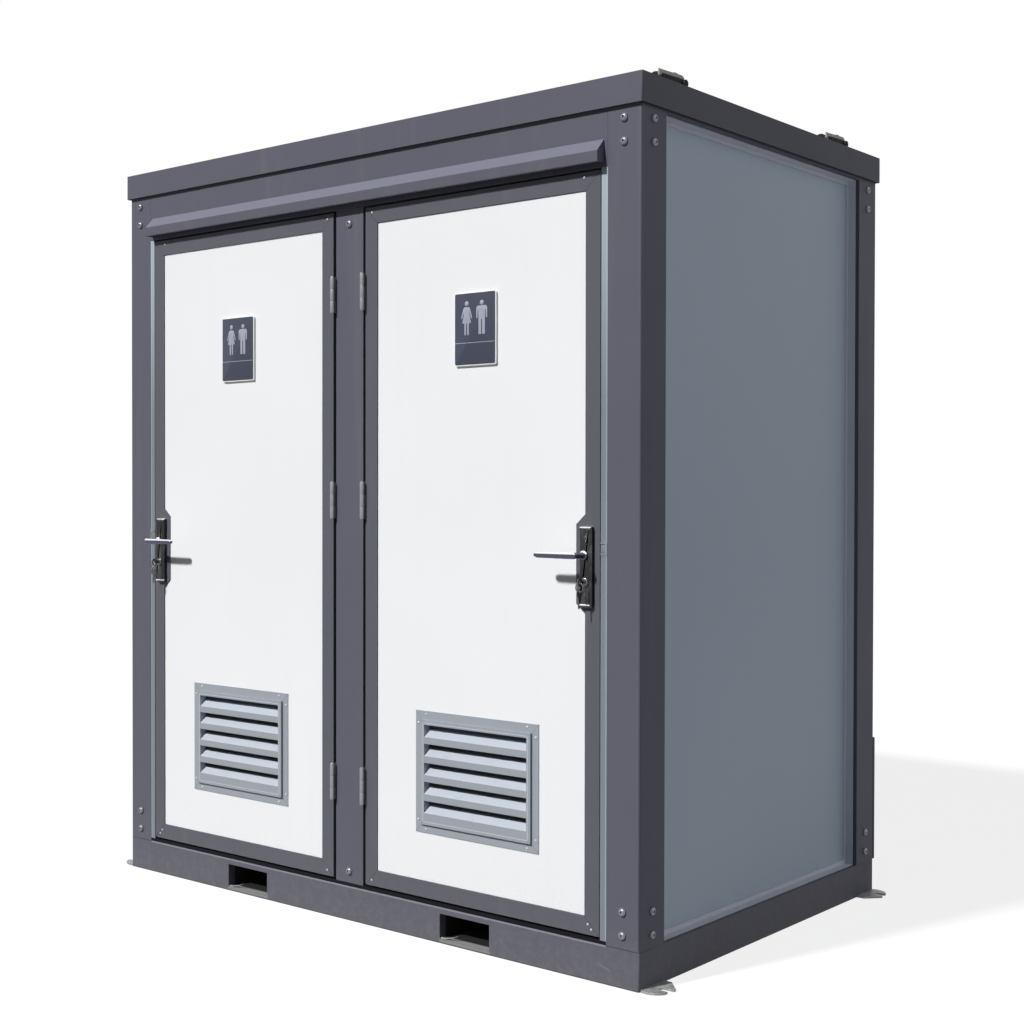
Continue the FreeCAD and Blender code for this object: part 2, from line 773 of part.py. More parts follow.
def keep(y0, y1):
    """Space of the keep between two depths."""
    x0 = POST_X - JAMB_W
    half = keep_half()
    return box(x0, x0 + LATCH_OUT + KEEP_GAP, y0, y1, LATCH_Z - half, LATCH_Z + half)


def strike_lip():
    """Bright lip round the keep, on the jamb strip's face."""
    y0, y1 = DOOR_Y0 - LIP_T, DOOR_Y0
    half = keep_half() + LIP_W
    return box(POST_X - JAMB_W, POST_X, y0, y1, LATCH_Z - half, LATCH_Z + half).cut(keep(y0, y1))


# Walls

def side_wall():
    half = POST_Y - WALL_GAP
    return box(WALL_IN_X, WALL_OUT_X, -half, half, BASE_H, RAIL_Z)


def rear_wall():
    half = POST_X - WALL_GAP
    wall = box(-half, half, WALL_IN_Y, WALL_OUT_Y, BASE_H, RAIL_Z)
    for x in (-STALL_XC, STALL_XC):
        wall = wall.cut(rod_y(WASTE_R + PIPE_GAP, x, WALL_IN_Y, WALL_OUT_Y, WASTE_Z, SIDES))
    return wall.cut(rod_y(WATER_R + PIPE_GAP, WATER_X, WALL_IN_Y, WALL_OUT_Y, WASTE_Z, SIDES))


def bead_ring(half, z0, z1):
    """Angle bead round a wall opening, drawn in the plane x = 0 with its foot at x = 0."""
    leg = box(0, BEAD_D, -half, half, z0, z1).cut(
        box(0, BEAD_D, -half + BEAD_T, half - BEAD_T, z0 + BEAD_T, z1 - BEAD_T))
    wide = BEAD_T + BEAD_FOOT
    foot = box(0, BEAD_T, -half, half, z0, z1).cut(
        box(0, BEAD_T, -half + wide, half - wide, z0 + wide, z1 - wide))
    return leg.fuse(foot).removeSplitter()


def wall_beads():
    side = bead_ring(POST_Y, BASE_H, RAIL_Z)
    side.translate(V(WALL_OUT_X, 0, 0))
    rear = bead_ring(POST_X, BASE_H, RAIL_Z)
    rear.rotate(V(0, 0, 0), V(0, 0, 1), 90)
    rear.translate(V(0, WALL_OUT_Y, 0))
    return pair(side) + [rear]


def partition_wall():
    half = PARTITION_T / 2
    return box(-half, half, STOP_Y + CENTRE_STOP_D, WALL_IN_Y, FLOOR_TOP, RAIL_Z)


def rear_cover():
    """Shallow tray over the service space, with holes for the pipes."""
    y0, y1 = HY, HY + COVER_D
    z0 = BASE_H
    tray = box(-HX, HX, y0, y1, z0, z0 + COVER_H)
    x, z1 = HX - COVER_T, z0 + COVER_H - COVER_T
    tray = tray.cut(box(-x, x, y0, y1 - COVER_T, z0 + COVER_T, z1))
    for x in (-STALL_XC, STALL_XC):
        tray = tray.cut(rod_y(WASTE_R + PIPE_GAP, x, y0, y1, WASTE_Z, SIDES))
    return tray.cut(rod_y(WATER_R + PIPE_GAP, WATER_X, y0, y1, WASTE_Z, SIDES))


# Door: frame, panel and louvre

def lock_case():
    """Deeper part of the lock stile, with bevelled corners, that holds the lock."""
    x0, x1 = PANEL_X1 - CASE_OUT, PANEL_X1
    z0, z1 = LOCK_Z - CASE_DOWN, LOCK_Z + CASE_UP
    outline = [(x1, z0), (x1, z1), (x0, z1 - CASE_BEVEL), (x0, z0 + CASE_BEVEL)]
    return prism_y(outline, DOOR_Y0, DOOR_Y1)


def bolt_slot(z, height, x0):
    """Straight slot in the lock stile that a bolt slides in, open at the door's edge."""
    gap = BOLT_SLOT_GAP
    half = height / 2 + gap
    return box(x0, DOOR_X1, BOLT_Y0 - gap, BOLT_Y0 + LATCH_D + gap, z - half, z + half)


def frame_bar(inset, number):
    """Solid of one mitred bar, or of its hollow when inset is the wall; 0 to 3 from the hinge round."""
    x0, x1, z0, z1 = DOOR_X0 + inset, DOOR_X1 - inset, DOOR_Z0 + inset, DOOR_Z1 - inset
    a, b, c, d = PANEL_X0 - inset, PANEL_X1 + inset, PANEL_Z0 - inset, PANEL_Z1 + inset
    outer = [(x0, z0), (x0, z1), (x1, z1), (x1, z0)]
    inner = [(a, c), (a, d), (b, d), (b, c)]
    after = (number + 1) % len(outer)
    outline = [outer[number], outer[after], inner[after], inner[number]]
    return prism_y(outline, DOOR_Y0 + inset, DOOR_Y1 - inset)


def lock_bore(radius, y0, y1, z):
    """Bore that the spindle or the key plug turns in."""
    return rod_y(bore_radius(radius, RUNNING_GAP, SIDES), SPINDLE_X, y0, y1, z, SIDES)


def door_frame():
    """Four mitred hollow bars; the lock stile carries the lock case."""
    hinge_stile, head_rail, lock_stile, foot_rail = (
        frame_bar(0, number).cut(frame_bar(DOOR_BAR_T, number)) for number in range(4))
    body = box(PANEL_X1, DOOR_X1, DOOR_Y0, DOOR_Y1, LOCK_Z - CASE_DOWN, LOCK_Z + CASE_UP)
    lock_stile = lock_stile.fuse([lock_case(), body]).removeSplitter()
    latch_end = DOOR_X1 - LATCH_LEN - BOLT_SLOT_GAP
    deadbolt_end = DOOR_X1 - DEADBOLT_LEN - 2 * BOLT_SLOT_GAP
    cuts = [bolt_slot(LATCH_Z, LATCH_H, latch_end),
            bolt_slot(DEADBOLT_Z, DEADBOLT_H, deadbolt_end),
            lock_bore(SPINDLE_R, DOOR_Y0, DOOR_Y1, LOCK_Z),
            lock_bore(PLUG_R, DOOR_Y0, DOOR_Y1, KEY_Z)]
    return [hinge_stile, lock_stile.cut(cuts), foot_rail, head_rail]


def door_panel():
    """Sandwich panel between the bars, cut out for the louvre and the lock case."""
    panel = box(PANEL_X0, PANEL_X1, PANEL_Y0, PANEL_Y0 + DOOR_PANEL_T, PANEL_Z0, PANEL_Z1)
    hole_w, hole_h = LOUVRE_IN_W + 2 * LOUVRE_GAP, LOUVRE_IN_H + 2 * LOUVRE_GAP
    hole = mid_box(PANEL_XC, PANEL_Y0 + DOOR_PANEL_T / 2, LOUVRE_Z - hole_h / 2,
                   hole_w, DOOR_PANEL_T, hole_h)
    return panel.cut([hole, lock_case()])


def louvre():
    """Flange on the panel's face, a raised rim and sloped blades that overlap."""
    y1 = PANEL_Y0
    y0 = y1 - LOUVRE_T
    face = mid_box(PANEL_XC, (y0 + y1) / 2, LOUVRE_Z - LOUVRE_H / 2, LOUVRE_W, LOUVRE_T, LOUVRE_H)
    half_w, half_h = LOUVRE_IN_W / 2, LOUVRE_IN_H / 2
    rim_w, rim_h = half_w + LOUVRE_RIM_W, half_h + LOUVRE_RIM_W
    depth = LOUVRE_RIM + DOOR_PANEL_T
    rim = box(PANEL_XC - rim_w, PANEL_XC + rim_w, y1 - LOUVRE_RIM, y1 - LOUVRE_T,
              LOUVRE_Z - rim_h, LOUVRE_Z + rim_h)
    sleeve = mid_box(PANEL_XC, y1 - LOUVRE_RIM + depth / 2, LOUVRE_Z - half_h,
                     LOUVRE_IN_W, depth, LOUVRE_IN_H)
    frame = face.fuse([rim, sleeve])
    inner_w, inner_h = LOUVRE_IN_W - 2 * LOUVRE_T, LOUVRE_IN_H - 2 * LOUVRE_T
    frame = frame.cut(mid_box(PANEL_XC, y1, LOUVRE_Z - inner_h / 2, inner_w, 4 * depth, inner_h))
    pitch = inner_h / BLADES
    blades = []
    for number in range(BLADES):
        z = LOUVRE_Z - inner_h / 2 + pitch * number + BLADE_LIP
        outline = blade_outline(y1 - LOUVRE_RIM, z)
        blades.append(prism_x(outline, PANEL_XC - inner_w / 2, PANEL_XC + inner_w / 2))
    return frame.fuse(blades).removeSplitter()


def blade_outline(y, z):
    """Cross-section of one blade: a slope that sheds water and an upright lip."""
    t = BLADE_T
    lean = math.hypot(BLADE_DEPTH, BLADE_RISE) / BLADE_DEPTH * t
    y1, z1 = y + BLADE_DEPTH, z + BLADE_RISE
    return [(y, z - BLADE_LIP), (y + t, z - BLADE_LIP), (y + t, z - lean + t * BLADE_RISE / BLADE_DEPTH),
            (y1, z1 - lean), (y1, z1), (y, z)]


# Hinges

def knuckle_spans(z):
    """Height range of each knuckle of the hinge centred at z, from the bottom up."""
    step = HINGE_LEN / KNUCKLES
    low = z - HINGE_LEN / 2
    gap = KNUCKLE_GAP / 2
    return [(low + n * step + gap, low + (n + 1) * step - gap) for n in range(KNUCKLES)]


def hinge_leaf(z, first, x0, x1):
    """Leaf between x0 and x1 with every second knuckle, starting at number first."""
    y1 = HINGE_Y + HINGE_OUT + HINGE_LEAF_W
    y0 = HINGE_Y + HINGE_R + HINGE_LEAF_GAP
    leaf = box(x0, x1, y0, y1, z - HINGE_LEN / 2, z + HINGE_LEN / 2)
    for low, high in knuckle_spans(z)[first::2]:
        barrel = rod_z(HINGE_R, HINGE_X, HINGE_Y, low, high, HEAD_SIDES)
        neck = box(x0, x1, HINGE_Y, y1, low, high)
        leaf = leaf.fuse([barrel, neck])
    return leaf


def frame_leaf(z):
    """Leaf on the centre post; its outer knuckles hold the pin fast."""
    leaf = hinge_leaf(z, 0, CENTRE_W / 2, CENTRE_W / 2 + HINGE_LEAF_T)
    reach = HINGE_LEN / KNUCKLES
    return leaf.fuse(rod_z(HINGE_PIN_R, HINGE_X, HINGE_Y, z - reach, z + reach)).removeSplitter()


def frame_leaves():
    return [leaf for z in HINGE_ZS for leaf in pair(frame_leaf(z))]


def door_leaf(z):
    """Leaf on the door; its knuckle turns on the pin."""
    radius = bore_radius(HINGE_PIN_R, HINGE_PIN_GAP, HEAD_SIDES)
    bore = rod_z(radius, HINGE_X, HINGE_Y, z - HINGE_LEN, z + HINGE_LEN, HEAD_SIDES)
    return hinge_leaf(z, 1, DOOR_X0 - HINGE_LEAF_T, DOOR_X0).cut(bore).removeSplitter()


def door_leaves():
    return [door_leaf(z) for z in HINGE_ZS]


# Lock

def lock_plate(width, thick, y, outward):
    """Bevelled plate over the lock case; outward is -1 outside and 1 inside."""
    half = width / 2
    top = half - PLATE_BEVEL
    y1 = y + outward * thick
    step = y + outward * (thick - PLATE_BEVEL)
    outline = [(SPINDLE_X - half, y), (SPINDLE_X - half, step), (SPINDLE_X - top, y1),
               (SPINDLE_X + top, y1), (SPINDLE_X + half, step), (SPINDLE_X + half, y)]
    plate = prism_z(outline, LOCK_Z - PLATE_DOWN, LOCK_Z + PLATE_UP)
    low, high = min(y, y1), max(y, y1)
    return plate.cut([lock_bore(NECK_R, low, high, LOCK_Z), lock_bore(PLUG_R, low, high, KEY_Z)])


def lock_plates():
    return [lock_plate(PLATE_W, PLATE_T, DOOR_Y0, -1), lock_plate(PLATE_IN_W, PLATE_IN_T, DOOR_Y1, 1)]


def lever(y, outward):
    """Neck and flat grip with round ends, pointing to the middle of the door."""
    y1 = y + outward * LEVER_OFF
    neck = rod_y(NECK_R, SPINDLE_X, min(y, y1), max(y, y1), LOCK_Z, SIDES)
    half = LEVER_H / 2
    x0 = SPINDLE_X - LEVER_LEN + half
    grip = box(x0, SPINDLE_X, y1 - LEVER_D / 2, y1 + LEVER_D / 2, LOCK_Z - half, LOCK_Z + half)
    ends = [rod_y(half, x, y1 - LEVER_D / 2, y1 + LEVER_D / 2, LOCK_Z, SIDES) for x in (x0, SPINDLE_X)]
    return neck.fuse([grip] + ends).removeSplitter()


def lever_set():
    """Outer and inner lever on one spindle through the lock case."""
    spindle = rod_y(SPINDLE_R, SPINDLE_X, DOOR_Y0, DOOR_Y1, LOCK_Z)
    outer = lever(DOOR_Y0, -1).fuse(spindle).removeSplitter()
    return [outer, lever(DOOR_Y1, 1)]


def latch_bolt():
    """Sprung bolt with a bevelled nose that stands out of the door's edge."""
    x1 = DOOR_X1 + LATCH_OUT
    x0 = x1 - LATCH_LEN
    y0, y1 = BOLT_Y0, BOLT_Y0 + LATCH_D
    outline = [(x0, y0), (x1, y0), (x1, y1 - LATCH_BEVEL), (x1 - LATCH_BEVEL, y1), (x0, y1)]
    return prism_z(outline, LATCH_Z - LATCH_H / 2, LATCH_Z + LATCH_H / 2)


def deadbolt():
    half = DEADBOLT_H / 2
    x1 = DOOR_X1 - BOLT_SLOT_GAP
    return box(x1 - DEADBOLT_LEN, x1, BOLT_Y0, BOLT_Y0 + LATCH_D, DEADBOLT_Z - half, DEADBOLT_Z + half)


def key_bow_y():
    """Centre of the key's bow, in front of the lock plate."""
    return DOOR_Y0 - PLATE_T - KEY_OUT - KEY_BOW / 2


def key_plug():
    """Cylinder plug with the key outside and a thumb turn inside."""
    y0 = DOOR_Y0 - PLATE_T - PLUG_PROUD
    y1 = DOOR_Y1 + PLATE_IN_T + PLUG_PROUD
    plug = rod_y(PLUG_R, SPINDLE_X, y0, y1, KEY_Z)
    bow_y = key_bow_y()
    half = KEY_T / 2
    bow = rod_x(KEY_BOW / 2, SPINDLE_X - half, SPINDLE_X + half, bow_y, KEY_Z, SIDES)
    wide = KEY_BLADE_W / 2
    blade = box(SPINDLE_X - half, SPINDLE_X + half, bow_y, y0 + PLUG_PROUD, KEY_Z - wide, KEY_Z + wide)
    turn = mid_box(SPINDLE_X, y1 + TURN_D / 2, KEY_Z - TURN_H / 2, TURN_T, TURN_D, TURN_H)
    plug = plug.fuse([bow, blade, turn]).removeSplitter()
    return plug.cut(key_hole(bow_y - KEY_HOLE_R, KEY_Z))


def key_hole(y, z, sides=0):
    return rod_x(KEY_HOLE_R, SPINDLE_X - KEY_T, SPINDLE_X + KEY_T, y, z, sides)


def key_ring():
    """Ring through the bow of the key, and a second key hanging from it."""
    y = key_bow_y() - KEY_HOLE_R
    hang_z = KEY_Z - KEY_HOLE_R + RING_WIRE_R + RING_HANG
    centre_z = hang_z - RING_R
    ring = round_ring(V(SPINDLE_X, y, centre_z), V(1, 0, 0), RING_R, RING_WIRE_R)
    low_z = centre_z - RING_R
    half = KEY_T / 2
    bow_z = low_z - KEY_HOLE_R - RING_HANG
    bow = rod_x(KEY_BOW / 2, SPINDLE_X - half, SPINDLE_X + half, y, bow_z, SIDES)
    reach = KEY_BLADE + KEY_BOW / 2
    blade = mid_box(SPINDLE_X, y, bow_z - reach, KEY_T, KEY_BLADE_W, reach)
    spare = bow.fuse(blade).removeSplitter()
    hole_z = low_z + KEY_HOLE_R - RING_WIRE_R - RING_HANG
    return [ring, spare.cut(key_hole(y, hole_z, HEAD_SIDES))]


# Lifting points

def lifting_bracket():
    """Bent strap on two feet with an upturned tip, on a plate shared with the eye."""
    y0, y1 = -LIFT_LEN / 2, LIFT_LEN / 2
    z0 = HEIGHT + LIFT_PLATE_T
    top, t = HEIGHT + LIFT_H, LIFT_T
    outline = [(y0 - LIFT_TIP, top + LIFT_TIP_RISE - t), (y0 - LIFT_TIP, top + LIFT_TIP_RISE), (y0, top),
               (y1, top), (y1, z0), (y1 - t, z0), (y1 - t, top - t), (y0 + t, top - t), (y0 + t, z0),
               (y0, z0), (y0, top - t)]
    strap = prism_x(outline, LIFT_X - LIFT_W / 2, LIFT_X + LIFT_W / 2)
    plate = box(LIFT_X - LIFT_W / 2 - EYE_IN, LIFT_X + LIFT_W / 2, y0, y1, HEIGHT, z0)
    return strap.fuse(plate).removeSplitter()


def lifting_eye():
    """Forged eye on a collar beside the strap."""
    x = LIFT_X - LIFT_W / 2 - EYE_IN / 2
    z0 = HEIGHT + LIFT_PLATE_T
    collar = rod_z(EYE_COLLAR_R, x, 0, z0, z0 + EYE_COLLAR_H, SIDES)
    ring = round_ring(V(x, 0, HEIGHT + EYE_HEIGHT), V(0, 1, 0), EYE_R, EYE_WIRE_R)
    return collar.fuse(ring).removeSplitter()


def at_lifting_points(shape):
    """The piece at all four lifting points, its tip always to the front."""
    places = []
    for y in (-LIFT_Y, LIFT_Y):
        moved = shape.copy()
        moved.translate(V(0, y, 0))
        places += pair(moved)
    return places


# Fittings in the stalls, drawn for the right-hand stall

def toilet_bowl():
    """Pedestal bowl lofted from an oval foot to an oval rim, hollowed from above."""
    xc, yc = STALL_XC, BOWL_YC
    foot_yc = yc + (BOWL_L - BOWL_FOOT_L) / 2
    outer = skin([oval_ring(xc, foot_yc, FLOOR_TOP, BOWL_FOOT_W, BOWL_FOOT_L),
                  oval_ring(xc, foot_yc, FLOOR_TOP + BOWL_FOOT_H, BOWL_FOOT_W, BOWL_FOOT_L),
                  oval_ring(xc, yc, RIM_Z - BOWL_RIM, BOWL_W, BOWL_L),
                  oval_ring(xc, yc, RIM_Z, BOWL_W, BOWL_L)])
    low_z = RIM_Z - BOWL_DEPTH
    mouth_w, mouth_l = BOWL_W - 2 * BOWL_RIM, BOWL_L - 2 * BOWL_RIM
    inner = skin([oval_ring(xc, yc, low_z, BOWL_SUMP_W, BOWL_SUMP_L),
                  oval_ring(xc, yc, RIM_Z - BOWL_RIM, mouth_w, mouth_l),
                  oval_ring(xc, yc, RIM_Z + 1, mouth_w, mouth_l)])
    bowl = outer.cut(inner)
    lug_x = STALL_XC - SEAT_HINGE_W / 2
    lug = box(lug_x, lug_x + SEAT_HINGE_W, SEAT_HINGE_Y - SEAT_HINGE_R, SEAT_HINGE_Y + SEAT_HINGE_R,
              RIM_Z - BOWL_RIM, SEAT_HINGE_Z)
    knuckle = rod_x(SEAT_HINGE_R, lug_x, lug_x + SEAT_HINGE_W, SEAT_HINGE_Y, SEAT_HINGE_Z)
    reach = SEAT_PIN_LEN / 2
    pin = rod_x(SEAT_PIN_R, xc - reach, xc + reach, SEAT_HINGE_Y, SEAT_HINGE_Z, HEAD_SIDES)
    horn = rod_y(WASTE_R, xc, BOWL_REAR - WASTE_HORN_IN, BOWL_REAR + WASTE_HORN, WASTE_Z, SIDES)
    inlet = rod_y(FLUSH_R, xc, BOWL_REAR - BOWL_RIM, BOWL_REAR + WASTE_HORN, FLUSH_Z, SIDES)
    return bowl.fuse([lug, knuckle, pin, horn, inlet]).removeSplitter()


def ear_spans(x0):
    """Ranges along the pin of the ear that starts at x0 and of its mirror image in the stall."""
    x1 = x0 + SEAT_EAR_W
    return [(x0, x1), (2 * STALL_XC - x1, 2 * STALL_XC - x0)]


def hinge_ears(x0):
    """Two round ears on the seat pin, left and right of the bowl's own knuckle."""
    return [rod_x(SEAT_HINGE_R, low, high, SEAT_HINGE_Y, SEAT_HINGE_Z, SIDES)
            for low, high in ear_spans(x0)]


def hinge_arms(x0, y0, y1, z0, z1):
    """Flat arms that join the ears to the seat or the lid."""
    return [box(low, high, y0, y1, z0, z1) for low, high in ear_spans(x0)]


def toilet_seat():
    """Oval ring with two ears round the pin."""
    z0 = RIM_Z + SEAT_GAP
    z1 = z0 + SEAT_T
    hole = oval(STALL_XC, BOWL_YC, BOWL_W - 2 * SEAT_HOLE, BOWL_L - 2 * SEAT_HOLE)
    seat = prism_z(oval(STALL_XC, BOWL_YC, BOWL_W, BOWL_L), z0, z1).cut(prism_z(hole, z0, z1))
    clear = SEAT_HINGE_R + SEAT_GAP
    seat = seat.cut(mid_box(STALL_XC, SEAT_HINGE_Y + BOWL_L / 2 - 2 * clear, z0,
                            SEAT_NOTCH_W, BOWL_L, SEAT_T))
    x0 = STALL_XC + SEAT_HINGE_W / 2 + SEAT_GAP
    arms = hinge_arms(x0, SEAT_HINGE_Y - SEAT_ARM, SEAT_HINGE_Y, z0, SEAT_HINGE_Z)
    seat = seat.fuse(hinge_ears(x0) + arms)
    return seat.cut(seat_bore()).removeSplitter()


def seat_bore():
    radius = bore_radius(SEAT_PIN_R, RUNNING_GAP, HEAD_SIDES)
    return rod_x(radius, STALL_XC - BOWL_W, STALL_XC + BOWL_W, SEAT_HINGE_Y, SEAT_HINGE_Z, HEAD_SIDES)


def toilet_lid():
    """Oval lid, drawn closed and then turned up until it leans back."""
    z0 = RIM_Z + 2 * SEAT_GAP + SEAT_T
    z1 = z0 + LID_T
    lid = prism_z(oval(STALL_XC, BOWL_YC, BOWL_W, BOWL_L), z0, z1)
    clear = SEAT_HINGE_R + SEAT_GAP
    lid = lid.cut(mid_box(STALL_XC, SEAT_HINGE_Y + BOWL_L / 2 - clear, z0, BOWL_W, BOWL_L, LID_T))
    x0 = STALL_XC + SEAT_HINGE_W / 2 + SEAT_EAR_W + 2 * SEAT_GAP
    arms = hinge_arms(x0, SEAT_HINGE_Y - SEAT_ARM, SEAT_HINGE_Y, z0, z1)
    risers = hinge_arms(x0, SEAT_HINGE_Y - SEAT_HINGE_R, SEAT_HINGE_Y + LID_RISER_BACK,
                        SEAT_HINGE_Z, z1)
    lid = lid.fuse(hinge_ears(x0) + arms + risers).cut(seat_bore()).removeSplitter()
    lid.rotate(V(STALL_XC, SEAT_HINGE_Y, SEAT_HINGE_Z), V(1, 0, 0), -(90 + LID_LEAN))
    return lid


def cistern():
    """Box on the rear wall with a well for the flush button, and the flush pipe."""
    y0 = WALL_IN_Y - CISTERN_D
    outer = mid_box(STALL_XC, y0 + CISTERN_D / 2, CISTERN_Z, CISTERN_W, CISTERN_D, CISTERN_H)
    inner_w, inner_d = CISTERN_W - 2 * CISTERN_T, CISTERN_D - 2 * CISTERN_T
    hollow = mid_box(STALL_XC, y0 + CISTERN_D / 2, CISTERN_Z + CISTERN_T, inner_w, inner_d,
                     CISTERN_H - 2 * CISTERN_T)
    tank = outer.cut(hollow)
    yc = y0 + CISTERN_D / 2
    well = rod_z(BUTTON_R + BUTTON_GAP, STALL_XC, yc, CISTERN_TOP - CISTERN_T, CISTERN_TOP, SIDES)
    pipe = pipe_knee(V(STALL_XC, yc, CISTERN_Z), V(STALL_XC, yc, FLUSH_Z),
                     V(STALL_XC, BOWL_REAR + WASTE_HORN, FLUSH_Z), FLUSH_R)
    return tank.cut(well).fuse(pipe).removeSplitter()


def pipe_knee(start, corner, end, radius):
    """Pipe from start to a mitred right-angled corner and on to the end, in flat facets."""
    up = (start - corner).normalize()
    across = (end - corner).normalize()
    side = across.cross(up)
    rings = []
    for point, lean in ((start, across), (corner, across + up), (end, up)):
        rings.append([point + side * a + lean * b for a, b in flat_sided(radius, radius, SIDES)])
    return skin(rings)


def flush_button():
    yc = WALL_IN_Y - CISTERN_D / 2
    z1 = CISTERN_TOP + BUTTON_SHOW
    return rod_z(BUTTON_R, STALL_XC, yc, z1 - BUTTON_H, z1, SIDES)


def wash_basin():
    """Wall basin with rounded corners, its hollow open on top."""
    x1 = WALL_IN_X
    outer = box(x1 - BASIN_D, x1, BASIN_Y - BASIN_W / 2, BASIN_Y + BASIN_W / 2, BASIN_Z, BASIN_TOP)
    room = TAP_BACK + TAP_R + BASIN_T
    hollow = box(x1 - BASIN_D + BASIN_T, x1 - room, BASIN_Y - BASIN_W / 2 + BASIN_T,
                 BASIN_Y + BASIN_W / 2 - BASIN_T, BASIN_Z + BASIN_T, BASIN_TOP)
    outer = round_edges(outer, BASIN_R, lambda e: upright(e) and e.Vertexes[0].Point.x < x1 - 1)
    hollow = hollow.makeChamfer(BASIN_CHAMFER, [edge for edge in hollow.Edges if upright(edge)])
    return outer.cut(hollow)


def basin_trap():
    """Waste pipe under the basin, bent into the wall."""
    x = WALL_IN_X - BASIN_D / 2
    z = BASIN_Z - TRAP_DROP
    return pipe_knee(V(x, BASIN_Y, BASIN_Z), V(x, BASIN_Y, z), V(WALL_IN_X, BASIN_Y, z), TRAP_R)


def tap():
    """Pillar with a spout over the basin and a seat for the push cap."""
    z1 = BASIN_TOP + TAP_H
    pillar = rod_z(TAP_R, TAP_X, BASIN_Y, BASIN_TOP, z1, SIDES)
    spout_z = BASIN_TOP + TAP_SPOUT_UP
    tip_x = TAP_X - TAP_SPOUT
    spout = pipe_knee(V(tip_x, BASIN_Y, spout_z - TAP_NOSE), V(tip_x, BASIN_Y, spout_z),
                      V(TAP_X, BASIN_Y, spout_z), TAP_SPOUT_R)
    stem = rod_z(TAP_STEM_R, TAP_X, BASIN_Y, z1, z1 + TAP_STEM_H, SIDES)
    return pillar.fuse([spout, stem]).removeSplitter()


def tap_cap():
    """Push cap over the tap's stem, raised by its spring."""
    z0 = BASIN_TOP + TAP_H + TAP_TRAVEL + TAP_GAP
    cap = rod_z(TAP_CAP_R, TAP_X, BASIN_Y, z0, z0 + TAP_CAP_H, SIDES)
    bore_top = BASIN_TOP + TAP_H + TAP_STEM_H + TAP_TRAVEL + TAP_GAP
    return cap.cut(rod_z(TAP_STEM_R + RUNNING_GAP, TAP_X, BASIN_Y, z0, bore_top, SIDES))


def ceiling_light():
    z1 = RAIL_Z + RAIL_T
    lamp = mid_box(STALL_XC, 0, z1 - LIGHT_H, LIGHT_W, LIGHT_L, LIGHT_H)
    return lamp.makeChamfer(LIGHT_R, [edge for edge in lamp.Edges if upright(edge)])


def service_pipe(radius, x, y0, out):
    """Pipe from y0 out past the rear cover, with a flange that sits on the cover."""
    y1 = HY + COVER_D + PIPE_FLANGE_T
    flange = rod_y(radius + PIPE_FLANGE, x, y1 - PIPE_FLANGE_T, y1, WASTE_Z, SIDES)
    inside = rod_y(radius, x, y0, y1, WASTE_Z, SIDES)
    outlet = rod_y(radius, x, y1, y1 + out, WASTE_Z)
    pipe = outlet.fuse([inside, flange]).removeSplitter()
    return pipe.cut(rod_y(radius - WASTE_T, x, y0, y1 + out, WASTE_Z, SIDES))


def service_pipes():
    """Waste pipes from both bowls, and the water inlet."""
    waste = pair(service_pipe(WASTE_R, STALL_XC, BOWL_REAR + WASTE_HORN, WASTE_OUT))
    return waste + [service_pipe(WATER_R, WATER_X, WALL_IN_Y, WATER_OUT)]


def save_cabin():
    """Everything that stays still."""
    front_beam = base_end_beam()
    save("base_beam_front", [front_beam])
    save("base_beam_rear", [mirror_y(front_beam)])
    save("base_members", base_members())
    save("fork_tubes", [fork_tube(-1), fork_tube(1)])
    save("anchor_lugs", four(anchor_lug()))
    save("floor_panel", [floor_panel()])
    save("door_sill", [door_sill()])
    post = corner_post()
    save("corner_post_front_right", [post])
    save("corner_post_front_left", [mirror_x(post)])
    save("corner_posts_rear", pair(mirror_y(post)))
    save("centre_post", [centre_post()])
    save("header_rail", [header_rail()])
    save("top_rails", top_rails())
    save("frame_bolts", frame_bolts())
    save("roof_cap", [roof_cap()])
    save("ceiling_panel", [ceiling_panel()])
    save("rain_visor", [rain_visor()])
    save("jamb_strips", pair(jamb_strip()) + pair(strike_lip()))
    save("side_wall_panels", pair(side_wall()))
    save("rear_wall_panel", [rear_wall()])
    save("wall_beads", wall_beads())
    save("partition_wall", [partition_wall()])
    save("rear_service_cover", [rear_cover()])
    save("service_pipes", service_pipes())
    save("frame_hinges", frame_leaves())
    save("lifting_brackets", at_lifting_points(lifting_bracket()))
    save("lifting_eyes", at_lifting_points(lifting_eye()))
    save("toilet_bowls", pair(toilet_bowl()))
    save("cisterns", pair(cistern()))
    save("wash_basins", pair(wash_basin()))
    save("taps", pair(tap()) + pair(basin_trap()))
    save("ceiling_lights", pair(ceiling_light()))


def save_moving():
    """Doors with their locks, and the small moving fittings, right and left."""
    pieces = {
        "door_frame": door_frame(),
        "door_panel": [door_panel()],
        "door_louvre": [louvre()],
        "door_hinge_leaves": door_leaves(),
        "lock_plates": lock_plates(),
        "lever_set": lever_set(),
        "latch_bolt": [latch_bolt()],
        "deadbolt": [deadbolt()],
        "key_plug": [key_plug()],
        "key_ring": key_ring(),
        "toilet_seat": [toilet_seat()],
        "toilet_lid": [toilet_lid()],
        "flush_button": [flush_button()],
        "tap_cap": [tap_cap()],
    }
    for name, shapes in pieces.items():
        save(name + "_right", shapes)
        save(name + "_left", [mirror_x(shape) for shape in shapes])


save_cabin()
save_moving()
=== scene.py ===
import logging
import math
from dataclasses import dataclass, field
from enum import Enum
from typing import Any, Callable, Iterable, Sequence, Union

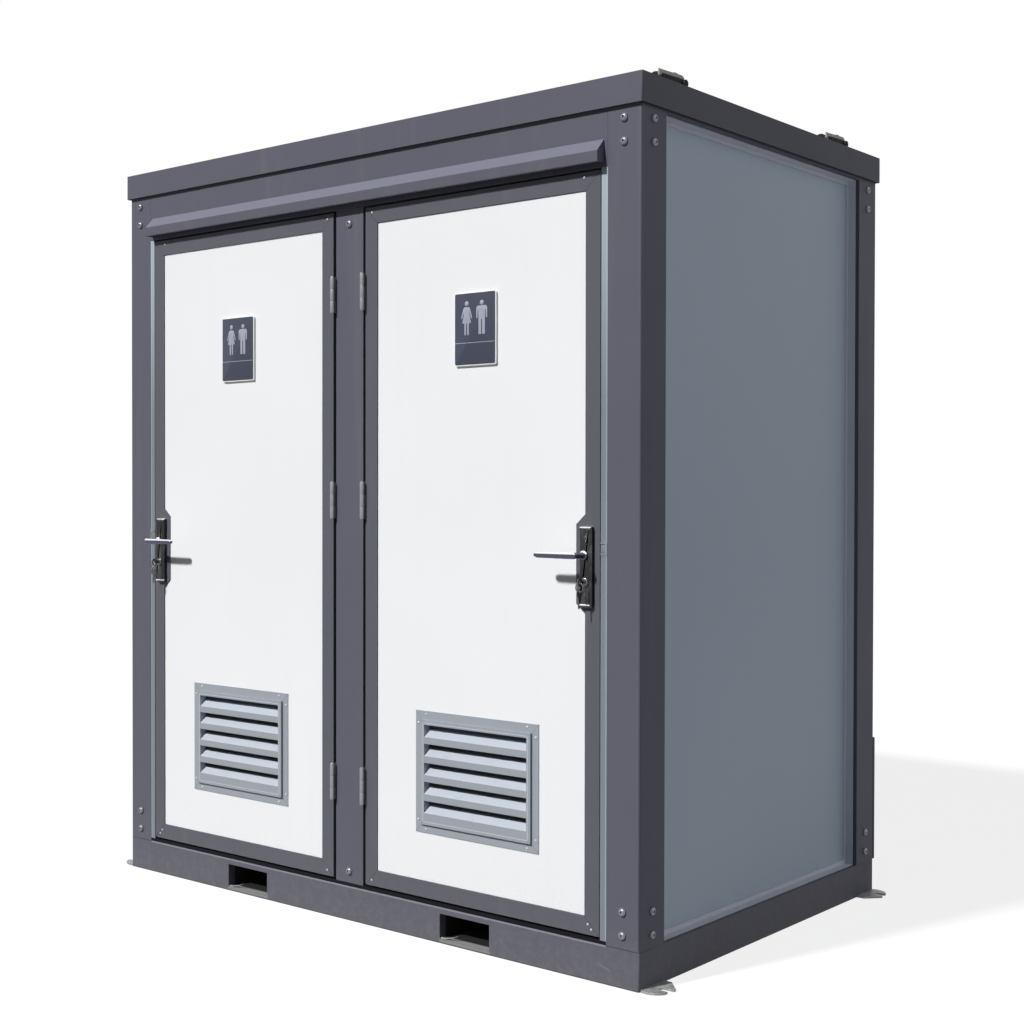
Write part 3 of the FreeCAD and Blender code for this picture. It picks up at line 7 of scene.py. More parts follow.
import bmesh
import bpy
import numpy as np
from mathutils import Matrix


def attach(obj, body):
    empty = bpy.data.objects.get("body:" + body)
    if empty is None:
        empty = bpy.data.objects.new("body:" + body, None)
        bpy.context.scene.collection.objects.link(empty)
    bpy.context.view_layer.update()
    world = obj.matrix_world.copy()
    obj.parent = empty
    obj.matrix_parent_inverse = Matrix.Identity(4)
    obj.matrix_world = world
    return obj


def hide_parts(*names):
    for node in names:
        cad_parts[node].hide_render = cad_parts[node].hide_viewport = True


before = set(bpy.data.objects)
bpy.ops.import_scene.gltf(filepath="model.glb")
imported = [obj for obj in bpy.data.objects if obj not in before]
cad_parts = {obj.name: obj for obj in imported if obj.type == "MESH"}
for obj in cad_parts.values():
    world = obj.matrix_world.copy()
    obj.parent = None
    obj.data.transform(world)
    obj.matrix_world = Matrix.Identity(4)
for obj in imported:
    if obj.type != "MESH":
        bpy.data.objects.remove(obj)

LOG = logging.getLogger("cabin")
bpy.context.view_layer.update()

Array = np.ndarray
Colour = tuple[float, float, float]
Place = tuple[float, float, float]
Pair = tuple[float, float]

ALONG_X: Place = (1.0, 0.0, 0.0)
ALONG_Y: Place = (0.0, 1.0, 0.0)

# Places that several pieces share, in metres, as the part's source has them
FRONT = -0.660
POST_SIDE = 1.050
WALL_IN = 0.962
ROOF_TOP = 2.350
FLOOR_TOP = 0.105
RIM_Z = 0.505
LOUVRE_Z = 0.480
LOUVRE_HALF = (0.225, 0.175)
DOOR_FACE = -0.659
DOOR_BACK = -0.617
PANEL_FACE = -0.656
PANEL_X = 0.495
SPINDLE_X = 0.883
POCKET_X = 0.456
LOCK_Z = 1.116
KEY_Z = 1.046
HINGE_X = 0.0625
HINGE_Y = -0.668
STALL_X = 0.491


class Side(Enum):
    """The two stalls, each with the sign of its X."""

    RIGHT = 1
    LEFT = -1

    @property
    def word(self) -> str:
        """The ending that the nodes of this side have."""
        return self.name.lower()


class Facing(Enum):
    """Ways that a shape drawn with its top along Z can be turned: the rows are its X, Y and Z."""

    UP = ((1, 0, 0), (0, 1, 0), (0, 0, 1))
    DOWN = ((1, 0, 0), (0, -1, 0), (0, 0, -1))
    FRONT = ((1, 0, 0), (0, 0, 1), (0, -1, 0))
    BACK = ((-1, 0, 0), (0, 0, 1), (0, 1, 0))
    RIGHT = ((0, 1, 0), (0, 0, 1), (1, 0, 0))
    LEFT = ((0, -1, 0), (0, 0, 1), (-1, 0, 0))


# Shader maths


class Wire:
    """A shader socket that Python's operators do sums on."""

    def __init__(self, graph: "Graph", socket: bpy.types.NodeSocket) -> None:
        """Keep the writer of the tree and the output socket."""
        self.graph = graph
        self.socket = socket

    def sum(self, operation: str, *terms: "Term") -> "Wire":
        """Add one Math node."""
        return self.graph.wire("Math", dict(enumerate(terms)), operation=operation)

    def __add__(self, other: "Term") -> "Wire":
        """Sum."""
        return self.sum("ADD", self, other)

    def __radd__(self, other: "Term") -> "Wire":
        """Sum with a number first."""
        return self.sum("ADD", other, self)

    def __sub__(self, other: "Term") -> "Wire":
        """Difference."""
        return self.sum("SUBTRACT", self, other)

    def __rsub__(self, other: "Term") -> "Wire":
        """Difference from a number."""
        return self.sum("SUBTRACT", other, self)

    def __mul__(self, other: "Term") -> "Wire":
        """Product."""
        return self.sum("MULTIPLY", self, other)

    def __abs__(self) -> "Wire":
        """Size without sign."""
        return self.sum("ABSOLUTE", self)

    def least(self, other: "Term") -> "Wire":
        """The smaller of two values."""
        return self.sum("MINIMUM", self, other)

    def most(self, other: "Term") -> "Wire":
        """The larger of two values."""
        return self.sum("MAXIMUM", self, other)

    def wave(self) -> "Wire":
        """Sine of the value."""
        return self.sum("SINE", self)

    def band(self, start: float, end: float) -> "Wire":
        """Smooth step from 0 at start to 1 at end."""
        return self.graph.wire("MapRange", {"Value": self, "From Min": start, "From Max": end},
                               interpolation_type="SMOOTHSTEP")


Term = Union[Wire, float]
Paint = Union[Wire, Colour]


class Graph:
    """Writer of one node tree."""

    def __init__(self, tree: bpy.types.NodeTree) -> None:
        """Start with an empty tree."""
        tree.nodes.clear()
        self.tree = tree

    def node(self, kind: str, feeds: dict[Any, Any] | None = None, **settings: Any) -> bpy.types.Node:
        """Add a node: its settings first, then the values or links of its sockets.

        Args:
            kind: Node type without its ShaderNode prefix.
            feeds: Socket name or number to a value or a wire.
            settings: The node's own settings.

        Returns:
            The new node.
        """
        made = self.tree.nodes.new("ShaderNode" + kind)
        for name, value in settings.items():
            setattr(made, name, value)
        for key, value in (feeds or {}).items():
            socket = made.inputs[key]
            if isinstance(value, Wire):
                self.tree.links.new(value.socket, socket)
            elif socket.type == "RGBA" and len(value) == 3:
                socket.default_value = (*value, 1.0)
            else:
                socket.default_value = value
        return made

    def wire(self, kind: str, feeds: dict[Any, Any] | None = None, out: Any = 0, **settings: Any) -> Wire:
        """Add a node and hand on one of its outputs."""
        return Wire(self, self.node(kind, feeds, **settings).outputs[out])

    def point(self, stretch: Place | None = None) -> Wire:
        """Object coordinates, stretched by a factor along each axis where one is given."""
        place = self.wire("TexCoord", out="Object")
        return self.wire("Mapping", {"Vector": place, "Scale": stretch}) if stretch else place

    def axes(self) -> tuple[Wire, Wire, Wire]:
        """X, Y and Z of the object coordinates."""
        x, y, z = (Wire(self, part) for part in self.node("SeparateXYZ", {0: self.point()}).outputs)
        return x, y, z

    def noise(self, place: Wire, scale: float, detail: float = 2.0, rough: float = 0.5) -> Wire:
        """Soft random value round 0.5."""
        return self.wire("TexNoise", {"Vector": place, "Scale": scale, "Detail": detail, "Roughness": rough})

    def mix(self, amount: Term, first: Paint, second: Paint) -> Wire:
        """Blend two colours: an amount of 0 gives the first, and 1 the second."""
        return self.wire("Mix", {0: amount, 6: first, 7: second}, out=2, data_type="RGBA")

    def bump(self, height: Wire, depth: float, strength: float = 1.0, normal: Wire | None = None) -> Wire:
        """Normal from a height."""
        below = {} if normal is None else {"Normal": normal}
        return self.wire("Bump", {"Height": height, "Distance": depth, "Strength": strength, **below})


# Finishes


@dataclass(frozen=True)
class Finish:
    """A finish with one main colour; each kind below adds its own marks.

    A constant goes on the shader's own socket, and what varies feeds colour, roughness or normal.
    """

    name: str
    colour: Colour
    roughness: float = 0.5
    metallic: float = 0.0
    specular: float = 0.5
    coat: float = 0.0

    def marks(self, graph: Graph) -> dict[str, Any]:
        """What varies over the surface."""
        raise NotImplementedError

    def colour_marks(self, graph: Graph, colour: Wire) -> Wire:
        """The colour so far with the marks of one piece's own; a plain finish has none."""
        return colour

    def tone(self, factor: float) -> Colour:
        """The main colour, lighter or darker by a factor."""
        return tuple(c * factor for c in self.colour)

    def material(self) -> bpy.types.Material:
        """The material of this finish, made once.

        Returns:
            The material.
        """
        made = bpy.data.materials.get(self.name)
        if made is not None and made.get("dressed"):
            return made
        made = bpy.data.materials.new(self.name)
        made["dressed"] = True
        made.use_nodes = True
        made.diffuse_color = (*self.colour, 1.0)
        graph = Graph(made.node_tree)
        feeds: dict[Any, Any] = {"Base Color": self.colour, "Roughness": self.roughness,
                                 "Metallic": self.metallic, "Specular IOR Level": self.specular,
                                 "Coat Weight": self.coat, "Coat Roughness": 0.08}
        feeds.update(self.marks(graph))
        shader = graph.wire("BsdfPrincipled", feeds)
        graph.node("OutputMaterial", {"Surface": shader})
        return made


@dataclass(frozen=True)
class PowderCoat(Finish):
    """Baked powder paint: orange peel, slight cloudiness, and road dust that fades upwards."""

    colour: Colour = (0.103, 0.105, 0.136)
    roughness: float = 0.55
    specular: float = 0.16
    dust: Colour = (0.30, 0.28, 0.25)
    dust_top: float = 0.22
    dust_share: float = 0.16
    peel: float = 0.00012

    def marks(self, graph: Graph) -> dict[str, Any]:
        """Cloudy colour, dust near the ground, and a fine rolling skin.

        Args:
            graph: Writer of the node tree.

        Returns:
            The shader's feeds by socket.
        """
        place = graph.point()
        _, _, z = graph.axes()
        cloud = graph.noise(place, 2.3, 3.0)
        streak = graph.noise(graph.point((14.0, 14.0, 1.1)), 1.0, 4.0, 0.6)
        colour = graph.mix(cloud.band(0.3, 0.7) * 0.35, self.colour, self.tone(0.90))
        colour = graph.mix(streak.band(0.52, 0.80) * 0.10, colour, self.dust)
        speck = graph.noise(place, 55.0, 4.0, 0.7)
        low = z.band(self.dust_top, 0.0) * (0.35 + speck.band(0.35, 0.75)) * self.dust_share
        colour = graph.mix(low, colour, self.dust)
        rough = self.roughness + (cloud - 0.5) * 0.12 + low * 0.5
        peel = graph.noise(place, 420.0, 2.0)
        return {"Base Color": self.colour_marks(graph, colour), "Roughness": rough,
                "Normal": graph.bump(peel, self.peel, 0.6)}


@dataclass(frozen=True)
class BeamCoat(PowderCoat):
    """Paint of the front beam: a scraped fork lip, a scratch, dark joints at its ends, a painted highlight
    along its top and painted shade along its lower edge.
    """

    def colour_marks(self, graph: Graph, colour: Wire) -> Wire:
        """Bare metal low at the fork pockets, a short scrape near the right end, a painted highlight along the
        top edge and painted shade along the lower edge.

        Args:
            graph: Writer of the node tree.
            colour: The colour so far.

        Returns:
            The colour with the marks on it.
        """
        x, y, z = graph.axes()
        ragged = graph.noise(graph.point(), 90.0, 3.0, 0.7)
        pocket = abs(abs(x) - POCKET_X).band(0.098, 0.090)
        lip = pocket * (z + (ragged - 0.5) * 0.014).band(0.0150, 0.0110) * z.band(0.0015, 0.0055)
        scrape = (abs(z - 0.047 + (x - 0.930) * 0.30 + (ragged - 0.5) * 0.006)).band(0.0020, 0.0008)
        scrape = scrape * abs(x - 0.940).band(0.024, 0.016) * y.band(-0.6595, -0.6599)
        joint = abs(z - 0.1012).band(0.0010, 0.0003) * abs(x).band(0.940, 0.946)
        # Painted highlight: a lighter band along the top edge of the beam's front, where the light catches it.
        painted_top_highlight = (z + (ragged - 0.5) * 0.002).band(0.0965, 0.0985) * abs(x).band(0.948, 0.942)
        # Painted shade: the lowest few millimetres of the beam go near black, as the shade under its lower
        # edge.
        under = z.band(0.0030, 0.0012)
        colour = graph.mix(lip * 0.8, colour, (0.25, 0.26, 0.25))
        colour = graph.mix(scrape * 0.5, colour, (0.24, 0.25, 0.29))
        colour = graph.mix(painted_top_highlight * 0.8, colour, (0.27, 0.275, 0.32))
        colour = graph.mix(under * 0.8, colour, (0.02, 0.02, 0.022))
        return graph.mix(joint * 0.8, colour, (0.01, 0.01, 0.012))


@dataclass(frozen=True)
class EndShadeCoat(PowderCoat):
    """Paint of the parts that go round the cabin, with painted shade on the two ends."""

    def colour_marks(self, graph: Graph, colour: Wire) -> Wire:
        """Past the line of the ends the colour falls to two thirds: painted shade on the ends."""
        x, _, _ = graph.axes()
        return graph.mix(abs(x).band(1.0572, 1.0592) * 0.85, colour, self.tone(0.62))


@dataclass(frozen=True)
class VisorLitSlopeCoat(PowderCoat):
    """Paint of the rain visor, with painted light on its slope."""

    def colour_marks(self, graph: Graph, colour: Wire) -> Wire:
        """Behind the upright front the paint is paler: painted light on the slope that faces up."""
        _, y, _ = graph.axes()
        return graph.mix(y.band(-0.6898, -0.6884) * 0.8, colour, (0.175, 0.18, 0.235))


@dataclass(frozen=True)
class TubeCoat(PowderCoat):
    """Paint of the fork tubes: worn bare on the floor of each mouth, with painted shade farther in."""

    def colour_marks(self, graph: Graph, colour: Wire) -> Wire:
        """Along each tube the colour falls to near black past the mouths, as painted shade, and the floor of
        each mouth is worn bare.

        Args:
            graph: Writer of the node tree.
            colour: The colour so far.

        Returns:
            The colour with the marks on it.
        """
        _, y, z = graph.axes()
        mouth = abs(y).band(0.630, 0.638)
        # Painted shade: near black inside the tube past its mouths.
        inside = graph.mix(mouth, (0.020, 0.021, 0.021), colour)
        return graph.mix(mouth * z.band(0.0160, 0.0140) * 0.8, inside, (0.30, 0.31, 0.30))


@dataclass(frozen=True)
class MitreCoat(PowderCoat):
    """Paint of the door bars, with the fine dark line of the mitre at each corner."""

    half_wide: float = 0.427
    half_high: float = 0.9985
    middle_z: float = 1.1175
    bar: float = 0.048

    def colour_marks(self, graph: Graph, colour: Wire) -> Wire:
        """A mitre runs where a point is as far from the side edge as from the top or bottom edge.

        Args:
            graph: Writer of the node tree.
            colour: The colour so far.

        Returns:
            The colour with the marks on it.
        """
        x, _, z = graph.axes()
        from_side = self.half_wide - abs(abs(x) - PANEL_X)
        from_end = self.half_high - abs(z - self.middle_z)
        line = abs(from_side - from_end).band(0.0011, 0.0005)
        line = line * from_side.band(self.bar + 0.002, self.bar)
        return graph.mix(line * 0.75, colour, (0.012, 0.012, 0.014))


@dataclass(frozen=True)
class PanelSheet(Finish):
    """Lacquered steel skin of a foam panel: flat, slightly wavy, with faint washing streaks."""

    grime: Colour = (0.45, 0.43, 0.40)
    streaks: float = 0.05
    wave: float = 0.0005

    def marks(self, graph: Graph) -> dict[str, Any]:
        """Streaks run down, grime gathers low, and the sheet is wavy over hand widths.

        Args:
            graph: Writer of the node tree.

        Returns:
            The shader's feeds by socket.
        """
        place = graph.point()
        _, _, z = graph.axes()
        streak = graph.noise(graph.point((30.0, 30.0, 0.9)), 1.0, 4.0, 0.6)
        cloud = graph.noise(place, 1.7, 2.0)
        speck = graph.noise(place, 140.0, 2.0, 0.6)
        colour = graph.mix(cloud.band(0.3, 0.7) * 0.5, self.colour, self.tone(0.965))
        colour = graph.mix(streak.band(0.5, 0.85) * self.streaks, colour, self.grime)
        low = z.band(0.40, 0.12) * speck.band(0.40, 0.75) * 0.10
        colour = graph.mix(low, colour, self.grime)
        waves = graph.noise(graph.point((1.0, 1.0, 0.35)), 3.2, 1.0)
        fine = graph.bump(graph.noise(place, 700.0, 1.0), 0.00004, 0.5)
        return {"Base Color": colour, "Roughness": self.roughness + (streak - 0.5) * 0.15,
                "Normal": graph.bump(waves, self.wave, 0.5, fine)}


@dataclass(frozen=True)
class Galvanised(Finish):
    """Zinc-coated steel: crystal cells of different grey, and white bloom in places."""

    cell: float = 70.0
    contrast: float = 0.28

    def marks(self, graph: Graph) -> dict[str, Any]:
        """Each crystal cell has its own shade and gloss.

        Args:
            graph: Writer of the node tree.

        Returns:
            The shader's feeds by socket.
        """
        place = graph.point()
        cell = graph.node("TexVoronoi", {"Vector": place, "Scale": self.cell, "Randomness": 1.0})
        shade = graph.wire("SeparateColor", {0: Wire(graph, cell.outputs["Color"])})
        bloom = graph.noise(place, 9.0, 4.0, 0.65)
        colour = graph.mix(shade, self.tone(1.0 - self.contrast), self.colour)
        colour = graph.mix(bloom.band(0.55, 0.8) * 0.3, colour, (0.55, 0.56, 0.57))
        edge = graph.bump(Wire(graph, cell.outputs["Distance"]), 0.0001, 0.25)
        rough = self.roughness + (shade - 0.5) * 0.18 + bloom.band(0.5, 0.9) * 0.15
        return {"Base Color": colour, "Roughness": rough, "Normal": edge}


@dataclass(frozen=True)
class DrawnMetal(Finish):
    """Rolled, drawn or brushed metal, with fine lines along one way and handling marks."""

    lines: Place = (1.0, 1.0, 40.0)
    depth: float = 0.00003
    stain: Colour = (0.10, 0.10, 0.11)
    stain_share: float = 0.18

    def marks(self, graph: Graph) -> dict[str, Any]:
        """Fine lines, soft stains, and a roughness that follows both.

        Args:
            graph: Writer of the node tree.

        Returns:
            The shader's feeds by socket.
        """
        line = graph.noise(graph.point(self.lines), 28.0, 3.0, 0.6)
        stain = graph.noise(graph.point(), 24.0, 4.0, 0.65)
        colour = graph.mix(line * 0.25, self.colour, self.tone(0.72))
        colour = graph.mix(stain.band(0.52, 0.85) * self.stain_share, colour, self.stain)
        rough = self.roughness + (line - 0.5) * 0.12 + stain.band(0.5, 0.9) * 0.10
        return {"Base Color": self.colour_marks(graph, colour), "Roughness": rough,
                "Normal": graph.bump(line, self.depth, 0.5)}


@dataclass(frozen=True)
class JambStrip(DrawnMetal):
    """Folded light strip: lighter towards the top, with a painted highlight along its outer line."""

    def colour_marks(self, graph: Graph, colour: Wire) -> Wire:
        """The outer four millimetres carry a painted highlight, and the strip is lighter near the top.

        Args:
            graph: Writer of the node tree.
            colour: The colour so far.

        Returns:
            The colour with the marks on it.
        """
        x, _, z = graph.axes()
        # Lighter above about one and a half metres.
        colour = graph.mix(z.band(1.45, 2.10) * 0.8, colour, (0.40, 0.48, 0.54))
        # Painted highlight along the strip's rounded outer edge.
        return graph.mix(abs(x).band(0.9408, 0.9414) * 0.32, colour, (0.56, 0.62, 0.70))


@dataclass(frozen=True)
class Threshold(DrawnMetal):
    """Door threshold: worn metal on top, and painted shade on its front under the doors."""

    def marks(self, graph: Graph) -> dict[str, Any]:
        """Painted shade lies where the closed door covers the sill, and the tread behind it is worn.

        Args:
            graph: Writer of the node tree.

        Returns:
            The shader's feeds by socket.
        """
        made = super().marks(graph)
        _, y, _ = graph.axes()
        # Painted shade: the sill's front under the doors goes near black and rough, as the shade in the gap
        # below the doors.
        dirt_and_shade = y.band(-0.6370, -0.6410)
        made["Base Color"] = graph.mix(dirt_and_shade, made["Base Color"], (0.012, 0.012, 0.016))
        made["Roughness"] = made["Roughness"].most(dirt_and_shade * 0.9)
        return made


@dataclass(frozen=True)
class LeverSkin(DrawnMetal):
    """Dark chrome lever with a painted highlight along its upper side."""

    # Colour of the painted highlight on the upper side of the grip.
    rubbed: Colour = (0.92, 0.92, 0.94)
    line_z: float = LOCK_Z + 0.0036

    def colour_marks(self, graph: Graph, colour: Wire) -> Wire:
        """Above a line near the top of the grip the colour is a painted highlight."""
        _, _, z = graph.axes()
        return graph.mix(z.band(self.line_z - 0.0010, self.line_z + 0.0006), colour, self.rubbed)


@dataclass(frozen=True)
class LockSkin(DrawnMetal):
    """Black nickel plate with painted highlights along its top and bottom bevels."""

    top: float = LOCK_Z + 0.0735
    bottom: float = LOCK_Z - 0.1300

    def marks(self, graph: Graph) -> dict[str, Any]:
        """Patches of lighter wear over the face, and two painted highlights across it.

        Args:
            graph: Writer of the node tree.

        Returns:
            The shader's feeds by socket.
        """
        made = super().marks(graph)
        x, y, z = graph.axes()
        smear = graph.noise(graph.point((1.0, 1.0, 0.5)), 46.0, 4.0, 0.65)
        outer = y.band(-0.6585, -0.6600)
        # Painted highlights: bright lines where the top and bottom bevels catch the light.
        lines = abs(z - self.top).band(0.0034, 0.0022) + abs(z - self.bottom).band(0.0022, 0.0012)
        lines = lines.least(1.0) * outer * abs(abs(x) - 0.8815).band(0.0190, 0.0170)
        colour = graph.mix(smear.band(0.50, 0.74) * 0.5, made["Base Color"], (0.20, 0.20, 0.21))
        made["Base Color"] = graph.mix(lines, colour, (0.80, 0.80, 0.82))
        made["Roughness"] = made["Roughness"] + smear.band(0.45, 0.8) * 0.15
        return made


@dataclass(frozen=True)
class LouvreSkin(DrawnMetal):
    """Louvre metal: flange and rim greyer than the blades, mitred at the corners, with painted shade on the
    blade lips and deep inside, and a painted highlight along the rim's fold.
    """

    def colour_marks(self, graph: Graph, colour: Wire) -> Wire:
        """A mitre runs where a point is as far from the side edge as from the top edge.

        Args:
            graph: Writer of the node tree.
            colour: The colour so far.

        Returns:
            The colour with the marks on it.
        """
        x, y, z = graph.axes()
        from_side = LOUVRE_HALF[0] - abs(abs(x) - PANEL_X)
        from_end = LOUVRE_HALF[1] - abs(z - LOUVRE_Z)
        rim = from_side.least(from_end)
        flange = rim.band(0.0365, 0.0345)
        mitre = abs(from_side - from_end).band(0.0012, 0.0004) * flange
        inside = rim.band(0.0345, 0.0365)
        lip = inside * y.band(-0.6643, -0.6647)
        deep = inside * y.band(-0.6460, -0.6400)
        colour = graph.mix(flange, colour, (0.31, 0.335, 0.375))
        # Painted shade on the front lips of the blades.
        colour = graph.mix(lip * 0.8, colour, (0.27, 0.29, 0.32))
        # Painted shade deep behind the blades.
        colour = graph.mix(deep * 0.85, colour, (0.05, 0.06, 0.07))
        # Painted highlight along the rim's fold.
        fold = abs(rim - 0.0335).band(0.0014, 0.0005)
        colour = graph.mix(fold * 0.6, colour, (0.60, 0.64, 0.70))
        return graph.mix(mitre * 0.6, colour, (0.08, 0.085, 0.10))


@dataclass(frozen=True)
class Casting(Finish):
    """Forged or cast metal with scale, pits and rubbed high spots."""

    rubbed: Colour = (0.32, 0.32, 0.33)
    grain: float = 260.0
    depth: float = 0.0004

    def marks(self, graph: Graph) -> dict[str, Any]:
        """Pits are dark and rough, high spots are rubbed bright.

        Args:
            graph: Writer of the node tree.

        Returns:
            The shader's feeds by socket.
        """
        place = graph.point()
        pit = graph.noise(place, self.grain, 4.0, 0.65)
        patch = graph.noise(place, 38.0, 3.0)
        colour = graph.mix(patch.band(0.52, 0.78) * 0.5, self.colour, self.rubbed)
        colour = graph.mix(pit.band(0.52, 0.30) * 0.5, colour, self.tone(0.5))
        return {"Base Color": colour, "Roughness": self.roughness + (pit - 0.5) * 0.3,
                "Normal": graph.bump(pit, self.depth, 0.6)}


@dataclass(frozen=True)
class Moulded(Finish):
    """Moulded plastic, rubber or enamel: fine skin, slight cloudiness, and dulled patches."""

    skin: float = 900.0
    depth: float = 0.00003
    tint: Colour = (0.5, 0.5, 0.48)
    tint_share: float = 0.08

    def marks(self, graph: Graph) -> dict[str, Any]:
        """A fine skin, and patches that are duller and slightly tinted.

        Args:
            graph: Writer of the node tree.

        Returns:
            The shader's feeds by socket.
        """
        place = graph.point()
        patch = graph.noise(place, 7.0, 3.0, 0.55)
        grain = graph.noise(place, self.skin, 2.0)
        colour = graph.mix(patch.band(0.45, 0.8) * self.tint_share, self.colour, self.tint)
        return {"Base Color": colour, "Roughness": self.roughness + (patch - 0.5) * 0.12,
                "Normal": graph.bump(grain, self.depth, 0.5)}


@dataclass(frozen=True)
class TreadBoard(Finish):
    """Phenolic floor board with a pressed wire-mesh tread."""

    pitch: float = 190.0

    def marks(self, graph: Graph) -> dict[str, Any]:
        """Two crossed rows of ridges, each the size of a sine along a diagonal, and foot dirt.

        Args:
            graph: Writer of the node tree.

        Returns:
            The shader's feeds by socket.
        """
        x, y, _ = graph.axes()
        first, second = (abs((way * (math.pi * self.pitch)).wave()) for way in (x + y, x - y))
        ridge = first.least(second)
        dirt_and_shade = graph.noise(graph.point(), 6.0, 5.0, 0.6)
        colour = graph.mix(ridge.band(0.5, 0.1) * 0.45, self.colour, self.tone(1.9))
        colour = graph.mix(dirt_and_shade.band(0.5, 0.8) * 0.4, colour, (0.16, 0.15, 0.13))
        return {"Base Color": colour, "Roughness": self.roughness + (dirt_and_shade - 0.5) * 0.3,
                "Normal": graph.bump(ridge.band(0.0, 0.5), 0.0006, 0.8)}


@dataclass(frozen=True)
class Diffuser(Finish):
    """Opal lamp cover with fine prismatic ribs along its length."""

    def marks(self, graph: Graph) -> dict[str, Any]:
        """The ribs are a sine across the cover.

        Args:
            graph: Writer of the node tree.

        Returns:
            The shader's feeds by socket.
        """
        x, _, _ = graph.axes()
        rib = (x * (2.0 * math.pi * 180.0)).wave() * 0.5 + 0.5
        cloud = graph.noise(graph.point(), 20.0, 2.0)
        colour = graph.mix(cloud * 0.3, self.colour, (0.80, 0.80, 0.74))
        return {"Base Color": colour, "Roughness": self.roughness + (cloud - 0.5) * 0.1,
                "Normal": graph.bump(rib, 0.0006, 0.5)}


FRAME_PAINT = PowderCoat("frame_paint_slate")
BEAM_PAINT = BeamCoat("beam_paint_slate")
CAP_PAINT = EndShadeCoat("cap_paint_slate")
TUBE_PAINT = TubeCoat("tube_paint_slate")
VISOR_PAINT = VisorLitSlopeCoat("visor_paint_slate")
BAR_PAINT = MitreCoat("door_bar_paint", (0.102, 0.106, 0.128), 0.52)
WALL_SHEET = PanelSheet("wall_sheet_grey", (0.47, 0.555, 0.66), 0.42, specular=0.22, wave=0.0012)
WHITE_SHEET = PanelSheet("white_sheet", (0.835, 0.85, 0.872), 0.38, specular=0.30, streaks=0.03)
BEAD_METAL = PanelSheet("wall_bead", (0.69, 0.71, 0.80), 0.42, specular=0.25, wave=0.0003)
JAMB_METAL = JambStrip("jamb_strip_zinc", (0.20, 0.225, 0.265), 0.42, 0.0, 0.3, lines=(40.0, 1.0, 0.4))
SILL_METAL = Threshold("sill_steel", (0.42, 0.43, 0.45), 0.38, 0.6, 0.2, lines=(0.5, 40.0, 40.0))
LOUVRE_METAL = LouvreSkin("louvre_aluminium", (0.46, 0.50, 0.57), 0.45, 0.0, 0.35, lines=(0.6, 30.0, 30.0))
GALVANISED = Galvanised("galvanised_steel", (0.40, 0.41, 0.41), 0.5, 0.35, 0.3)
BRACKET_METAL = Galvanised("lifting_strap_steel", (0.26, 0.27, 0.27), 0.5, 0.25, 0.3, cell=160.0)
RIVET_STEEL = DrawnMetal("rivet_steel", (0.58, 0.58, 0.62), 0.30, 0.15, 0.6, lines=(30.0, 30.0, 30.0))
BOLT_STEEL = DrawnMetal("bolt_steel", (0.20, 0.20, 0.225), 0.30, 0.10, 1.0, lines=(30.0, 30.0, 30.0))
HINGE_STEEL = DrawnMetal("hinge_steel", (0.28, 0.285, 0.305), 0.28, 0.35, 1.0, lines=(8.0, 8.0, 60.0))
LOCK_PLATE = LockSkin("lock_plate_black_nickel", (0.040, 0.040, 0.042), 0.28, 0.8, lines=(60.0, 60.0, 1.5),
                      stain=(0.10, 0.10, 0.10))
LEVER_METAL = LeverSkin("lever_dark_chrome", (0.085, 0.088, 0.135), 0.24, 0.9, lines=(1.0, 30.0, 30.0),
                        stain=(0.13, 0.13, 0.17))
KEY_METAL = DrawnMetal("key_nickel", (0.16, 0.16, 0.16), 0.30, 0.9, lines=(40.0, 6.0, 6.0))
CHROME = DrawnMetal("chrome_fitting", (0.80, 0.81, 0.82), 0.10, 1.0, lines=(20.0, 20.0, 20.0), depth=0.000004,
                    stain=(0.60, 0.61, 0.62), stain_share=0.2)
FORGED = Casting("forged_eye_black", (0.018, 0.018, 0.019), 0.72, 0.0, 0.15, rubbed=(0.05, 0.05, 0.05))
TREAD = TreadBoard("floor_tread", (0.045, 0.040, 0.036), 0.55)
CERAMIC = Moulded("glazed_ceramic", (0.84, 0.84, 0.82), 0.12, coat=1.0, skin=30.0, depth=0.0002)
WHITE_PLASTIC = Moulded("white_plastic", (0.80, 0.80, 0.79), 0.32, tint=(0.62, 0.60, 0.52))
PIPE_PLASTIC = Moulded("pipe_plastic_grey", (0.20, 0.21, 0.23), 0.42, tint=(0.30, 0.29, 0.27),
                       tint_share=0.25)
RUBBER = Moulded("seal_rubber", (0.022, 0.022, 0.023), 0.75, skin=500.0, tint=(0.10, 0.095, 0.09))
SIGN_FACE = Moulded("sign_face_slate", (0.045, 0.053, 0.084), 0.34, specular=0.3, skin=1600.0,
                    tint=(0.065, 0.068, 0.10), tint_share=0.5)
SIGN_EDGE = Moulded("sign_edge_light", (0.78, 0.80, 0.80), 0.30, tint=(0.60, 0.62, 0.62))
SIGN_FIGURE = Moulded("sign_figure_light", (0.36, 0.37, 0.46), 0.38, tint=(0.46, 0.48, 0.56), tint_share=0.4)
LENS = Diffuser("lamp_cover_opal", (0.88, 0.88, 0.85), 0.3)
MIRROR = DrawnMetal("mirror_glass", (0.90, 0.92, 0.92), 0.03, 1.0, depth=0.0, stain=(0.75, 0.78, 0.78))
PAPER = Moulded("paper_roll", (0.82, 0.81, 0.79), 0.9, skin=260.0, depth=0.0003)

